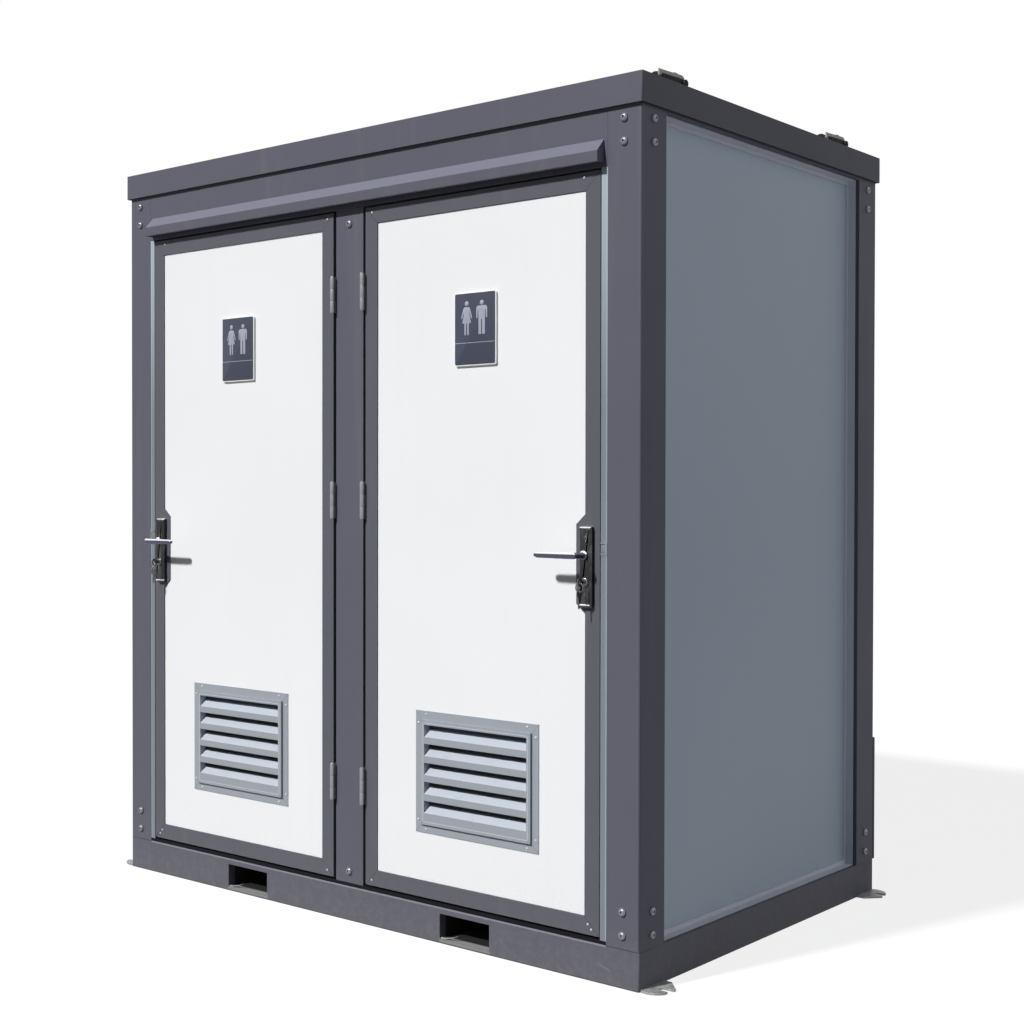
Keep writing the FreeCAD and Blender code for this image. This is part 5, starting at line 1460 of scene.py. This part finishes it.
@dataclass
class LiftingGear:
    """Forged eyes beside the straps, with the plates' bolts."""

    y: float = 0.462
    eye_x: float = 0.958
    eye_z: float = 2.384
    ring: float = 0.0170
    wire: float = 0.006
    seat: float = 0.004
    plate_x: float = 0.978
    strap_x: float = 1.006
    strap_line: tuple[Pair, ...] = ((-0.0550, 0.0370), (-0.0440, 0.0362), (0.0580, 0.0400), (0.0630, 0.0035))
    web_line: tuple[Pair, ...] = ((-0.049, 0.0035), (0.060, 0.0035), (0.056, 0.0382), (-0.043, 0.0348))
    link_at: Place = (0.9912, 0.046, 0.0300)
    pivot_at: Place = (1.0100, 0.0590, 0.0265)
    bolt_step: float = 0.046

    def eye(self) -> list[Shell]:
        """Collar, short shoulder and a ring that swells where it meets the shoulder.

        Returns:
            The collar and the ring.
        """
        collar = lathe(mm((13.8, 0), (14, 1.2), (14, 6.2), (12.8, 8), (8.6, 9.6), (6.2, 13)), 32)
        turn, small = angles(48), angles(16)
        wire = (self.wire * (1.0 + 0.12 * np.maximum(-np.cos(turn), 0.0) ** 3))[:, None]
        reach = self.ring + wire * np.cos(small)
        points = np.stack((reach * np.sin(turn)[:, None], wire * np.sin(small), reach * np.cos(turn)[:, None]),
                          axis=-1)
        points[..., 2] = np.maximum(points[..., 2], ROOF_TOP + 0.0055 - self.eye_z)
        return [collar.placed((self.eye_x, 0.0, ROOF_TOP + self.seat)),
                grid(points, loop=True).placed((self.eye_x, 0.0, self.eye_z))]

    def bracket(self) -> list[Shell]:
        """Plate, and a strap bent from a bar: down at the rear, slightly up at its free tip.

        Returns:
            The plate and the strap.
        """
        plate = slab(oblong(0.074, 0.128, 0.003), self.seat, 0.0008)
        path = [(self.strap_x, y, ROOF_TOP + z) for y, z in self.strap_line]
        return [plate.placed((self.plate_x, 0.0, ROOF_TOP)),
                bent(oblong(0.018, 0.0046, 0.0014), path, 0.007, 6, ALONG_X)]

    def web(self) -> list[Shell]:
        """Upright web below the strap, a link of round wire that stands beside it, and the pivot.

        Returns:
            The web, the link and the pivot.
        """
        web = slab(soft_corners(self.web_line, 0.004, 4), 0.0050, 0.0008, True)
        web = Shell(web.points[:, [2, 0, 1]], web.faces)
        path = oblong(0.034, 0.0445, 0.0165, 8)
        link = sweep(superoval(0.0096, 0.0096, 16), np.insert(path, 0, 0.0, axis=1), True, ALONG_X)
        pivot = lathe(mm((9.5, 0), (10.5, 1), (10.5, 7), (9.5, 9), (5, 9.5)), 28)
        shells = [web.placed((self.strap_x + 0.0002, 0.0, 0.0)), link.placed(self.link_at),
                  pivot.placed(self.pivot_at, Facing.RIGHT)]
        return [shell.placed((0.0, 0.0, ROOF_TOP)) for shell in shells]

    def bolts(self) -> list[Shell]:
        """Two small bolts on the plate.

        Returns:
            The bolts.
        """
        hexagon = slab(superoval(0.015, 0.015, 6), 0.0050, 0.0010)
        z = ROOF_TOP + self.seat - 0.0002
        return [hexagon.placed((self.eye_x, step, z)) for step in (-self.bolt_step, self.bolt_step)]

    def build(self) -> None:
        """Bracket, eye, web and bolts at four places."""
        for name, draw, finish, slot, nodes in (
                ("lifting_straps_bent", self.bracket, BRACKET_METAL, "galvanised", ["lifting_brackets"]),
                ("lifting_eyes_forged", self.eye, FORGED, "forged", ["lifting_eyes"]),
                ("lifting_webs", self.web, FORGED, "forged", []),
                ("lifting_plate_bolts", self.bolts, BOLT_STEEL, "bolt_steel", [])):
            made = [shell.placed((0.0, y, 0.0)).mirrored(side) for side in Side for y in (-self.y, self.y)
                    for shell in draw()]
            piece(name, made, finish, "cabin", nodes)
        LOG.info("lifting gear")


@dataclass
class PocketTabs:
    """Burr at the left of each fork pocket's lower lip, torn up by forks: a sliver that thins to a point."""

    length: float = 0.064
    rise: float = 0.017
    root: float = 0.0905
    lip_y: float = -0.6520
    lip_z: float = 0.0130

    def build(self) -> None:
        """Rows of an oval along a line z = rise t^2, its width and thickness falling with t."""
        made: list[Shell] = []
        t = np.linspace(0.0, 1.0, 9)
        size = np.stack((0.0052 * (1 - 0.9 * t), 0.0100 * (1 - 0.8 * t)), axis=-1)
        unit = superoval(1.0, 1.0, 14, 3.0)
        flat = scaled(unit, size, self.lip_z + self.rise * t ** 2, self.lip_y)
        for middle in (-POCKET_X, POCKET_X):
            x = np.broadcast_to((middle - self.root + self.length * t)[:, None], flat.shape[:2])
            made.append(grid(np.stack((x, flat[..., 1], flat[..., 0]), axis=-1)))
        piece("fork_pocket_burrs", made, GALVANISED, "cabin")


@dataclass
class Stall(SidePart):
    """What stands in one stall, in smooth shapes where the part has flat sides."""

    bowl_y: float = 0.107
    bowl_size: Pair = (0.360, 0.470)
    foot_size: Pair = (0.214, 0.360)
    bowl_rise: float = 0.374
    bowl_power: float = 2.25
    seat_y: float = 0.3347
    seat_z: float = 0.5123
    seat_low: float = RIM_Z + 0.0006
    seat_thick: float = 0.018
    ear: float = 0.018
    lean: float = math.radians(98.0)
    flush_y: float = 0.497
    flush_z: float = 0.440
    tank_size: Pair = (0.380, 0.148)
    tank_back: float = 0.572
    tank_z: float = 0.545
    tank_lid_z: float = 0.854
    basin_y: float = -0.300
    basin_z: float = 0.835
    trap_x: float = 0.832
    trap_z: float = 0.755
    tap_x: float = 0.923
    tap_z: float = 0.955
    spout_x: float = 0.828
    lamp_z: float = 2.266
    mirror_z: float = 1.500
    wall: float = 0.020
    hook_y: float = -0.250
    hook_z: float = 1.650
    roll_y: float = 0.060
    roll_z: float = 0.780

    def toilet(self) -> list[Shell]:
        """Bowl as one surface up the outside, over the rim and down the inside.

        Each row is a superoval; its size and middle follow the height smoothly.

        Returns:
            Bowl, waste horn, flush inlet, and the lug and pin that carry the seat.
        """
        t = np.linspace(0.0, 1.0, 22)
        late = smooth(np.clip((t - 0.30) / 0.62, 0.0, 1.0))
        waist = 0.018 * np.sin(math.pi * smooth(t)) * (1 - late)
        (wide, long), (foot_wide, foot_long) = self.bowl_size, self.foot_size
        length = foot_long + (long - foot_long) * late
        back = self.bowl_y + long / 2
        outer = np.stack((foot_wide + (wide - foot_wide) * late - waist, length, self.bowl_rise * t), axis=-1)
        inner = mm((360, 470, 389), (359, 469, 395), (352, 462, 399.5), (340, 450, 400), (302, 412, 400),
                   (290, 400, 398.5), (284, 394, 393), (286, 396, 372), (276, 384, 340), (244, 346, 290),
                   (196, 282, 240), (150, 200, 200), (118, 150, 176), (60, 76, 170))
        rows = np.concatenate((outer, inner))
        y = np.concatenate((back - length / 2, np.full(len(inner), self.bowl_y)))
        unit = superoval(1.0, 1.0, 56, self.bowl_power)
        bowl = grid(rings(scaled(unit, rows[:, :2], STALL_X, y), FLOOR_TOP + rows[:, 2]))
        horn = lathe(mm((55, 0), (55, 100), (58, 104), (58, 130), (55, 132)), 36)
        lug_high = 0.0445
        lug = slab(oblong(0.030, 0.014, 0.003), lug_high, 0.001)
        knuckle = bar(0.007, 0.030, 0.0006).placed((STALL_X - 0.015, self.seat_y, self.seat_z), Facing.RIGHT)
        pin = bar(0.004, 0.150, 0.0006, 20).placed((STALL_X - 0.075, self.seat_y, self.seat_z), Facing.RIGHT)
        return [bowl, horn.placed((STALL_X, back - 0.120, 0.190), Facing.BACK),
                bar(0.022, 0.044, 0.002, 28).placed((STALL_X, back - 0.032, self.flush_z), Facing.BACK),
                knuckle, lug.placed((STALL_X, self.seat_y, self.seat_z - lug_high)), pin]

    def ears(self, start: float, low: float, high: float) -> list[Shell]:
        """Two ears round the pin with the arms that join them to the seat or lid.

        Args:
            start: Distance of the ear from the stall's middle.
            low: Lower face of the arm.
            high: Upper face of the arm.

        Returns:
            The shells.
        """
        made: list[Shell] = []
        ear = lathe(mm((4.2, 0), (6.4, 0), (7, 0.6), (7, 17.4), (6.4, 18), (4.2, 18)), 24, True)
        arm = slab(oblong(self.ear, 0.026, 0.002), high - low, 0.0015, True, 3)
        for x in (STALL_X + start, STALL_X - start - self.ear):
            made.append(ear.placed((x, self.seat_y, self.seat_z), Facing.RIGHT))
            made.append(arm.placed((x + self.ear / 2, self.seat_y - 0.017, low)))
        return made

    def seat(self) -> list[Shell]:
        """Seat ring: its middle line is an oval, and its section a superoval that narrows at the back.

        Returns:
            The ring and its ears.
        """
        turn, radii = circle(64), np.array((0.1495, 0.1930))
        half = 0.0300 - 0.0050 * np.maximum(turn[:, 1], 0.0)
        normal = turn / radii
        normal /= np.linalg.norm(normal, axis=1, keepdims=True)
        section = superoval(2.0, 2.0, 20, 3.0)
        flat = (turn * radii)[:, None] + normal[:, None] * (half[:, None] * section[None, :, 0])[..., None]
        z = np.broadcast_to(section[None, :, 1] * 0.0088 + RIM_Z + 0.0095, flat.shape[:2])
        ring = grid(np.concatenate((flat + (STALL_X, 0.0930), z[..., None]), axis=2), loop=True)
        return [ring] + self.ears(0.0153, self.seat_low, self.seat_z + 0.003)

    def lid(self) -> list[Shell]:
        """Crowned lid, drawn closed and then turned up about the pin until it leans back.

        Returns:
            The lid, its ears and the risers that join them.
        """
        rows = mm((344, 434, 0), (356, 446, 1.2), (360, 450, 4.2), (358, 448, 7.8), (346, 436, 10.4),
                  (300, 388, 11.4), (200, 270, 12), (80, 110, 12.2))
        low = self.seat_low + self.seat_thick
        unit = superoval(1.0, 1.0, 56, self.bowl_power)
        shells = [grid(rings(scaled(unit, rows[:, :2], STALL_X, 0.0960), low + rows[:, 2]))]
        start = 0.0339
        shells += self.ears(start, low + 0.0004, low + 0.0112)
        riser = slab(oblong(self.ear, 0.0125, 0.002), low + 0.011 - self.seat_z, 0.001, True, 3)
        for x in (start + self.ear / 2, -start - self.ear / 2):
            shells.append(riser.placed((STALL_X + x, self.seat_y - 0.0008, self.seat_z)))
        return [shell.tipped(-self.lean, self.seat_y, self.seat_z) for shell in shells]

    def cistern(self) -> list[Shell]:
        """Tapered tank, its lid with a round well for the button, and the flush pipe with its nut.

        Returns:
            Tank, lid, pipe, nut and cone.
        """
        wide, deep = self.tank_size
        grow = np.array((0.84, 0.86, 0.88, 0.94, 0.985, 0.985, 0.985))
        depths = deep * (0.5 + grow / 2)
        tank = scaled(oblong(1.0, 1.0, 0.12, 7), np.stack((wide * grow, depths), axis=-1), STALL_X,
                      self.tank_back - depths / 2)
        heights = self.tank_z + np.array((0.0, 0.004, 0.012, 0.150, 0.302, 0.306, 0.309))
        rows = mm((376, 146, 0), (380, 150, 3), (380, 150, 22), (374, 144, 28), (340, 120, 30.5),
                  (46, 46, 31), (45.5, 45.5, 30.5), (45, 45, 22))
        square = oblong(1.0, 1.0, 0.10, 7)
        ring = superoval(1.0, 1.0, len(square))
        around = [np.arctan2(line[:, 1], line[:, 0]) % (2 * math.pi) for line in (square, ring)]
        start = int(np.argmin(np.abs(around[0][0] - around[1])))
        bases = np.stack([square] * 5 + [np.roll(ring, -start, axis=0)] * 3)
        lid = rings(bases * rows[:, None, :2] + (STALL_X, self.flush_y), self.tank_lid_z + rows[:, 2])
        pipe = bent(superoval(0.044, 0.044, 24),
                    ((STALL_X, self.flush_y, self.tank_z + 0.003), (STALL_X, self.flush_y, self.flush_z),
                     (STALL_X, 0.354, self.flush_z)), 0.060, 14, ALONG_X)
        nut = slab(superoval(0.062, 0.062, 8), 0.020, 0.003, True)
        cone = lathe(mm((24, 0), (31, 3), (31, 16), (24, 30)), 28)
        return [grid(rings(tank, heights)), grid(lid), pipe,
                nut.placed((STALL_X, self.flush_y, self.tank_z - 0.021)),
                cone.placed((STALL_X, 0.355, self.flush_z), Facing.BACK)]

    def basin(self) -> list[Shell]:
        """Basin as one surface: up the tapered outside, over the rim, and down into the hollow.

        Returns:
            Basin, trap and wall flange.
        """
        rows = mm((130, 180, 0, 50), (150, 200, 3, 48), (200, 246, 30, 28), (246, 286, 80, 7),
                  (257, 297, 104, 1.5), (260, 300, 112, 0), (257, 297, 118.5, 0), (250, 290, 120, 0),
                  (178, 274, 120, -31), (170, 266, 118, -31), (162, 258, 108, -31), (154, 248, 70, -30),
                  (124, 208, 36, -26), (70, 110, 22, -18), (36, 36, 19, -15))
        outlines = scaled(oblong(1.0, 1.0, 0.20, 7), rows[:, :2], WALL_IN - 0.130 + rows[:, 3], self.basin_y)
        trap = bent(superoval(0.032, 0.032, 20),
                    ((self.trap_x, self.basin_y, self.basin_z + 0.003),
                     (self.trap_x, self.basin_y, self.trap_z),
                     (WALL_IN - 0.002, self.basin_y, self.trap_z)), 0.040, 12, ALONG_Y)
        flange = lathe(mm((16, 0), (30, 0), (29, 4), (18, 10)), 28)
        return [grid(rings(outlines, self.basin_z + rows[:, 2])), trap,
                flange.placed((WALL_IN, self.basin_y, self.trap_z), Facing.LEFT)]

    def basin_waste(self) -> list[Shell]:
        """Strainer ring in the basin and the plug in its middle.

        Returns:
            Ring and plug.
        """
        ring = lathe(mm((10, 0), (21, 0), (21.5, 1.5), (19, 2.8), (12, 1.8), (11, 0.2)), 32, True)
        plug = lathe(mm((10.5, 0), (10.5, 1.4), (8, 2.4), (2, 3)), 28)
        place = (self.trap_x - 0.015, self.basin_y, self.basin_z + 0.0185)
        return [ring.placed(place), plug.placed(place)]

    def tap(self) -> list[Shell]:
        """Pillar, neck under the cap, and a bent spout with a ringed nozzle.

        Returns:
            Pillar, spout and nozzle.
        """
        pillar = lathe(mm((20, 0), (20, 4), (16.5, 8), (13.2, 16), (12.8, 70), (14.2, 86), (14.2, 89.5),
                          (11.8, 90), (6.5, 90.5), (6.2, 101)), 36)
        spout = bent(superoval(0.0160, 0.0160, 24),
                     ((self.tap_x, self.basin_y, self.tap_z + 0.054),
                      (self.spout_x, self.basin_y, self.tap_z + 0.058),
                      (self.spout_x, self.basin_y, self.tap_z + 0.036)), 0.018, 10, ALONG_Y)
        nozzle = lathe(mm((7, 0), (9.2, 0), (9.4, 1), (9.4, 8), (8.6, 9)), 28)
        return [pillar.placed((self.tap_x, self.basin_y, self.tap_z)), spout,
                nozzle.placed((self.spout_x, self.basin_y, self.tap_z + 0.0345))]

    def tap_cap(self) -> list[Shell]:
        """Push cap with a domed top and a finger dish.

        Returns:
            The cap.
        """
        cap = lathe(mm((7, 0), (15.8, 0), (17, 1.2), (17, 15), (16, 19), (13.2, 21.4), (10, 22), (6, 21.4),
                       (1, 21.1), (1, 12.5), (7, 12.5)), 36, True)
        return [cap.placed((self.tap_x, self.basin_y, self.tap_z + 0.0965))]

    def lamp(self) -> list[Shell]:
        """Lamp cover with long soft edges, and the rim that holds it to the ceiling.

        Returns:
            Cover and rim.
        """
        cover = slab(oblong(0.106, 0.296, 0.040, 7), 0.038, 0.016, steps=7)
        rim = slab(oblong(0.110, 0.300, 0.042, 7), 0.009, 0.002)
        return [cover.placed((STALL_X, 0.0, self.lamp_z), Facing.DOWN),
                rim.placed((STALL_X, 0.0, self.lamp_z + 0.0008), Facing.DOWN)]

    def mirror(self) -> None:
        """Framed mirror over the basin."""
        rim = slab(oblong(0.306, 0.406, 0.010), 0.010, 0.003)
        glass = slab(oblong(0.290, 0.390, 0.006), 0.0010, 0.0004)
        self.add("mirror_frame", [rim.placed((WALL_IN, self.basin_y, self.mirror_z), Facing.LEFT)],
                 WHITE_PLASTIC, "cabin", "white_plastic")
        self.add("mirror_glass", [glass.placed((WALL_IN - 0.010, self.basin_y, self.mirror_z), Facing.LEFT)],
                 MIRROR, "cabin", "chrome_fitting")

    def hook(self) -> list[Shell]:
        """Coat hook on the partition.

        Returns:
            Plate, bent arm and knob.
        """
        wall, y, z = self.wall, self.hook_y, self.hook_z
        plate = slab(oblong(0.030, 0.060, 0.008), 0.004, 0.0015)
        arm = bent(superoval(0.009, 0.009, 16), ((wall + 0.002, y, z + 0.005), (wall + 0.045, y, z - 0.010),
                                                 (wall + 0.050, y, z + 0.025)), 0.016, 8, ALONG_Y)
        knob = lathe(mm((4.5, -2), (7.2, 1), (7.8, 4), (6, 7), (2, 8)), 24)
        return [plate.placed((wall, y, z), Facing.RIGHT), arm, knob.placed((wall + 0.050, y, z + 0.024))]

    def holder(self) -> list[Shell]:
        """Paper holder on the partition.

        Returns:
            Back plate, spindle, hood and the two lugs.
        """
        wall, y, z = self.wall, self.roll_y, self.roll_z
        back = slab(oblong(0.130, 0.090, 0.008), 0.004, 0.0015)
        spindle = bar(0.006, 0.112, 0.0006)
        hood = bent(oblong(0.126, 0.0016, 0.0005), ((wall + 0.003, y, z + 0.060), (wall + 0.085, y, z + 0.058),
                                                    (wall + 0.112, y, z + 0.010)), 0.030, 10, ALONG_Y)
        lug = slab(oblong(0.008, 0.030, 0.003), 0.070, 0.002)
        lugs = [lug.placed((wall, y + step, z), Facing.RIGHT) for step in (-0.060, 0.060)]
        return [back.placed((wall, y, z), Facing.RIGHT),
                spindle.placed((wall + 0.058, y - 0.056, z), Facing.BACK), hood, *lugs]

    def build(self) -> None:
        """The moving pieces of this stall and its wall things."""
        self.add("seat_ring", self.seat(), WHITE_PLASTIC, "seat", "white_plastic", "toilet_seat")
        self.add("seat_lid", self.lid(), WHITE_PLASTIC, "lid", "white_plastic", "toilet_lid")
        button = lathe(mm((20.5, 0), (21, 1), (21.2, 11), (20, 13), (15, 13.8), (3, 14)), 36)
        self.add("flush_button_cap", [button.placed((STALL_X, self.flush_y, self.tank_lid_z + 0.022))], CHROME,
                 "button", "chrome_fitting", "flush_button")
        self.add("tap_push_cap", self.tap_cap(), CHROME, "cap", "chrome_fitting", "tap_cap")
        self.mirror()
        self.add("hook_and_holder", self.hook() + self.holder(), CHROME, "cabin", "chrome_fitting")
        roll = lathe(mm((20, 0), (49, 0), (50.5, 2), (50.5, 98), (49, 100), (20, 100)), 40, True)
        roll = roll.placed((self.wall + 0.058, self.roll_y - 0.050, self.roll_z - 0.006), Facing.BACK)
        self.add("paper_roll", [roll], PAPER, "cabin", "white_plastic")
        LOG.info("stall %s", self.side.word)


@dataclass
class StallPair:
    """Fixed fittings of both stalls, one piece for each node that holds both."""

    stalls: tuple[Stall, ...] = field(default_factory=lambda: (Stall(Side.RIGHT), Stall(Side.LEFT)))

    def both(self, draw: Callable[[Stall], list[Shell]]) -> list[Shell]:
        """The shells of one kind of fitting from both stalls."""
        return [shell for stall in self.stalls for shell in stall.put(draw(stall))]

    def build(self) -> None:
        """Bowls, cisterns, basins, taps and lamps, then each stall's own things."""
        for name, draw, finish, slot, nodes in (
                ("glazed_bowls", Stall.toilet, CERAMIC, "ceramic", ["toilet_bowls"]),
                ("cistern_tanks", Stall.cistern, WHITE_PLASTIC, "white_plastic", ["cisterns"]),
                ("basin_bowls", Stall.basin, CERAMIC, "ceramic", ["wash_basins"]),
                ("basin_strainers", Stall.basin_waste, CHROME, "chrome_fitting", []),
                ("pillar_taps", Stall.tap, CHROME, "chrome_fitting", ["taps"]),
                ("lamp_covers", Stall.lamp, LENS, "lens", ["ceiling_lights"])):
            piece(name, self.both(draw), finish, "cabin", nodes)
        for stall in self.stalls:
            stall.build()


@dataclass
class RearServices:
    """Waste outlets and water inlet at the rear, and the screws of the cover they pass."""

    waste: float = 0.055
    water: float = 0.013
    z: float = 0.190
    cover_y: float = 0.671
    screw_z: tuple[float, ...] = (0.122, 0.473)

    def outlet(self, radius: float, start: float, end: float) -> list[Shell]:
        """Pipe with a bore, a flange on the cover, and a raised bead near its end.

        Args:
            radius: Outer radius.
            start: Y of the inner end.
            end: Y of the outer end.

        Returns:
            The shells, their origin on the pipe's line.
        """
        bore, lip = radius - 0.004, radius + 0.009
        bead = radius + min(0.0025, radius * 0.12)
        face, tip = self.cover_y - start, end - start
        profile = ((bore, 0.0), (radius, 0.0), (radius, face), (lip, face), (lip, face + 0.006),
                   (lip - 0.002, face + 0.008), (radius, face + 0.008), (radius, tip - 0.022),
                   (bead, tip - 0.020), (bead, tip - 0.014), (radius, tip - 0.012), (radius, tip - 0.002),
                   (radius - 0.001, tip), (bore, tip))
        return [lathe(profile, 44, True).placed((0.0, start, 0.0), Facing.BACK)]

    def build(self) -> None:
        """Three pipes, and two rows of screws along the cover."""
        pipes = ((-STALL_X, self.waste, 0.357, 0.739), (STALL_X, self.waste, 0.357, 0.739),
                 (0.130, self.water, 0.575, 0.711))
        made = [shell.placed((x, 0.0, self.z)) for x, *sizes in pipes for shell in self.outlet(*sizes)]
        piece("rear_pipes", made, PIPE_PLASTIC, "cabin", ["service_pipes"])
        head = screw(0.0050, 0.0022)
        xs = np.linspace(-0.915, 0.915, 9).tolist()
        screws = [head.placed((x, self.cover_y, z), Facing.BACK) for x in xs for z in self.screw_z]
        piece("cover_screws", screws, BOLT_STEEL, "cabin")
        LOG.info("rear services")


@dataclass
class Studio:
    """Camera, key light, soft surroundings and floor."""

    camera_at: Place = (3.2804, -3.9001, 1.2807)
    pitch: float = -0.743
    roll: float = -0.094
    yaw: float = 39.313
    lens: float = 54.11
    key_azimuth: float = 17.0
    key_height: float = 43.0
    key_power: float = 4.12
    fill_azimuth: float = -112.0
    fill_height: float = 24.0
    fill_power: float = 0.60
    around: float = 0.04
    floor_tone: float = 0.19
    floor_size: float = 60.0

    def camera(self) -> None:
        """Camera at the photo's place, looking level and to the left."""
        data = bpy.data.cameras.new("photo_camera")
        data.lens = self.lens
        data.sensor_width = 36.0
        data.clip_end = 200.0
        made = bpy.data.objects.new("photo_camera", data)
        made.location = self.camera_at
        made.rotation_euler = (math.radians(90.0 + self.pitch), math.radians(self.roll),
                               math.radians(self.yaw))
        bpy.context.scene.collection.objects.link(made)
        bpy.context.scene.camera = made

    def lamp(self, name: str, azimuth: float, height: float, power: float, spread: float,
             colour: Colour) -> None:
        """One far light.

        Args:
            name: Its name.
            azimuth: Degrees to the left of the doors' normal that it comes from.
            height: Degrees above the floor.
            power: Its strength.
            spread: Its apparent size in degrees.
            colour: Its colour.
        """
        data = bpy.data.lights.new(name, "SUN")
        data.energy = power
        data.angle = math.radians(spread)
        data.color = colour
        made = bpy.data.objects.new(name, data)
        made.rotation_euler = (math.radians(90.0 - height), 0.0, math.radians(-azimuth))
        bpy.context.scene.collection.objects.link(made)

    def white_share(self, graph: Graph) -> Wire:
        """1 for rays of the camera, of gloss and through glass, and 0 for the rest.

        Args:
            graph: Writer of the node tree.

        Returns:
            The share.
        """
        path = graph.node("LightPath")
        seen = Wire(graph, path.outputs["Is Camera Ray"]).most(Wire(graph, path.outputs["Is Glossy Ray"]))
        return seen.most(Wire(graph, path.outputs["Is Transmission Ray"]))

    def surroundings(self) -> None:
        """White behind the object, and a softer even light on it."""
        world = bpy.data.worlds.new("soft_room")
        bpy.context.scene.world = world
        world.use_nodes = True
        graph = Graph(world.node_tree)
        seen = self.white_share(graph)
        light = graph.node("Background", {"Color": (0.90, 0.95, 1.0), "Strength": self.around})
        white = graph.node("Background", {"Color": (1.0, 1.0, 1.0), "Strength": 1.0})
        mixed = graph.wire("MixShader", {0: seen, 1: Wire(graph, light.outputs[0]),
                                         2: Wire(graph, white.outputs[0])})
        graph.node("OutputWorld", {"Surface": mixed})

    def floor(self) -> None:
        """Pale level floor that shows white in the light and keeps the shadow."""
        material = bpy.data.materials.new("pale_floor")
        material.use_nodes = True
        graph = Graph(material.node_tree)
        seen = self.white_share(graph)
        tone = graph.noise(graph.point(), 0.8, 2.0)
        pale = (self.floor_tone,) * 3
        matt = graph.wire("BsdfDiffuse", {"Color": graph.mix(tone, pale, tuple(c * 1.05 for c in pale))})
        glow = graph.wire("Emission", {"Color": (1.0, 1.0, 1.0), "Strength": 1.02 - self.floor_tone})
        both = graph.wire("AddShader", {0: matt, 1: glow})
        graph.node("OutputMaterial", {"Surface": graph.wire("MixShader", {0: seen, 1: matt, 2: both})})
        half = self.floor_size / 2
        line = np.linspace(-half, half, 9)
        x, y = np.meshgrid(line, line)
        shell = grid(np.stack((x, y, np.zeros_like(x) - 0.0005), axis=-1), around=False, caps=False)
        mesh = bpy.data.meshes.new("studio_floor")
        mesh.from_pydata(shell.points.tolist(), [], shell.faces)
        mesh.materials.append(material)
        made = bpy.data.objects.new("studio_floor", mesh)
        bpy.context.scene.collection.objects.link(made)

    def build(self) -> None:
        """Set up the whole studio."""
        self.camera()
        self.lamp("key_light", self.key_azimuth, self.key_height, self.key_power, 4.0, (1.0, 0.997, 0.99))
        self.lamp("fill_light", self.fill_azimuth, self.fill_height, self.fill_power, 60.0, (0.93, 0.97, 1.0))
        self.surroundings()
        self.floor()
        bpy.context.scene.view_settings.view_transform = "Standard"
        LOG.info("studio")


def main() -> None:
    """Dress the part, add the fine pieces, and light it."""
    logging.basicConfig(level=logging.INFO, format="%(name)s: %(message)s")
    PartDress().dress()
    FrameBolts().build()
    LiftingGear().build()
    PocketTabs().build()
    for side in Side:
        SignPlate(side).build()
        DoorTrim(side).build()
        LockSet(side).build()
    StallPair().build()
    RearServices().build()
    Studio().build()


if __name__ == "__main__":
    main()
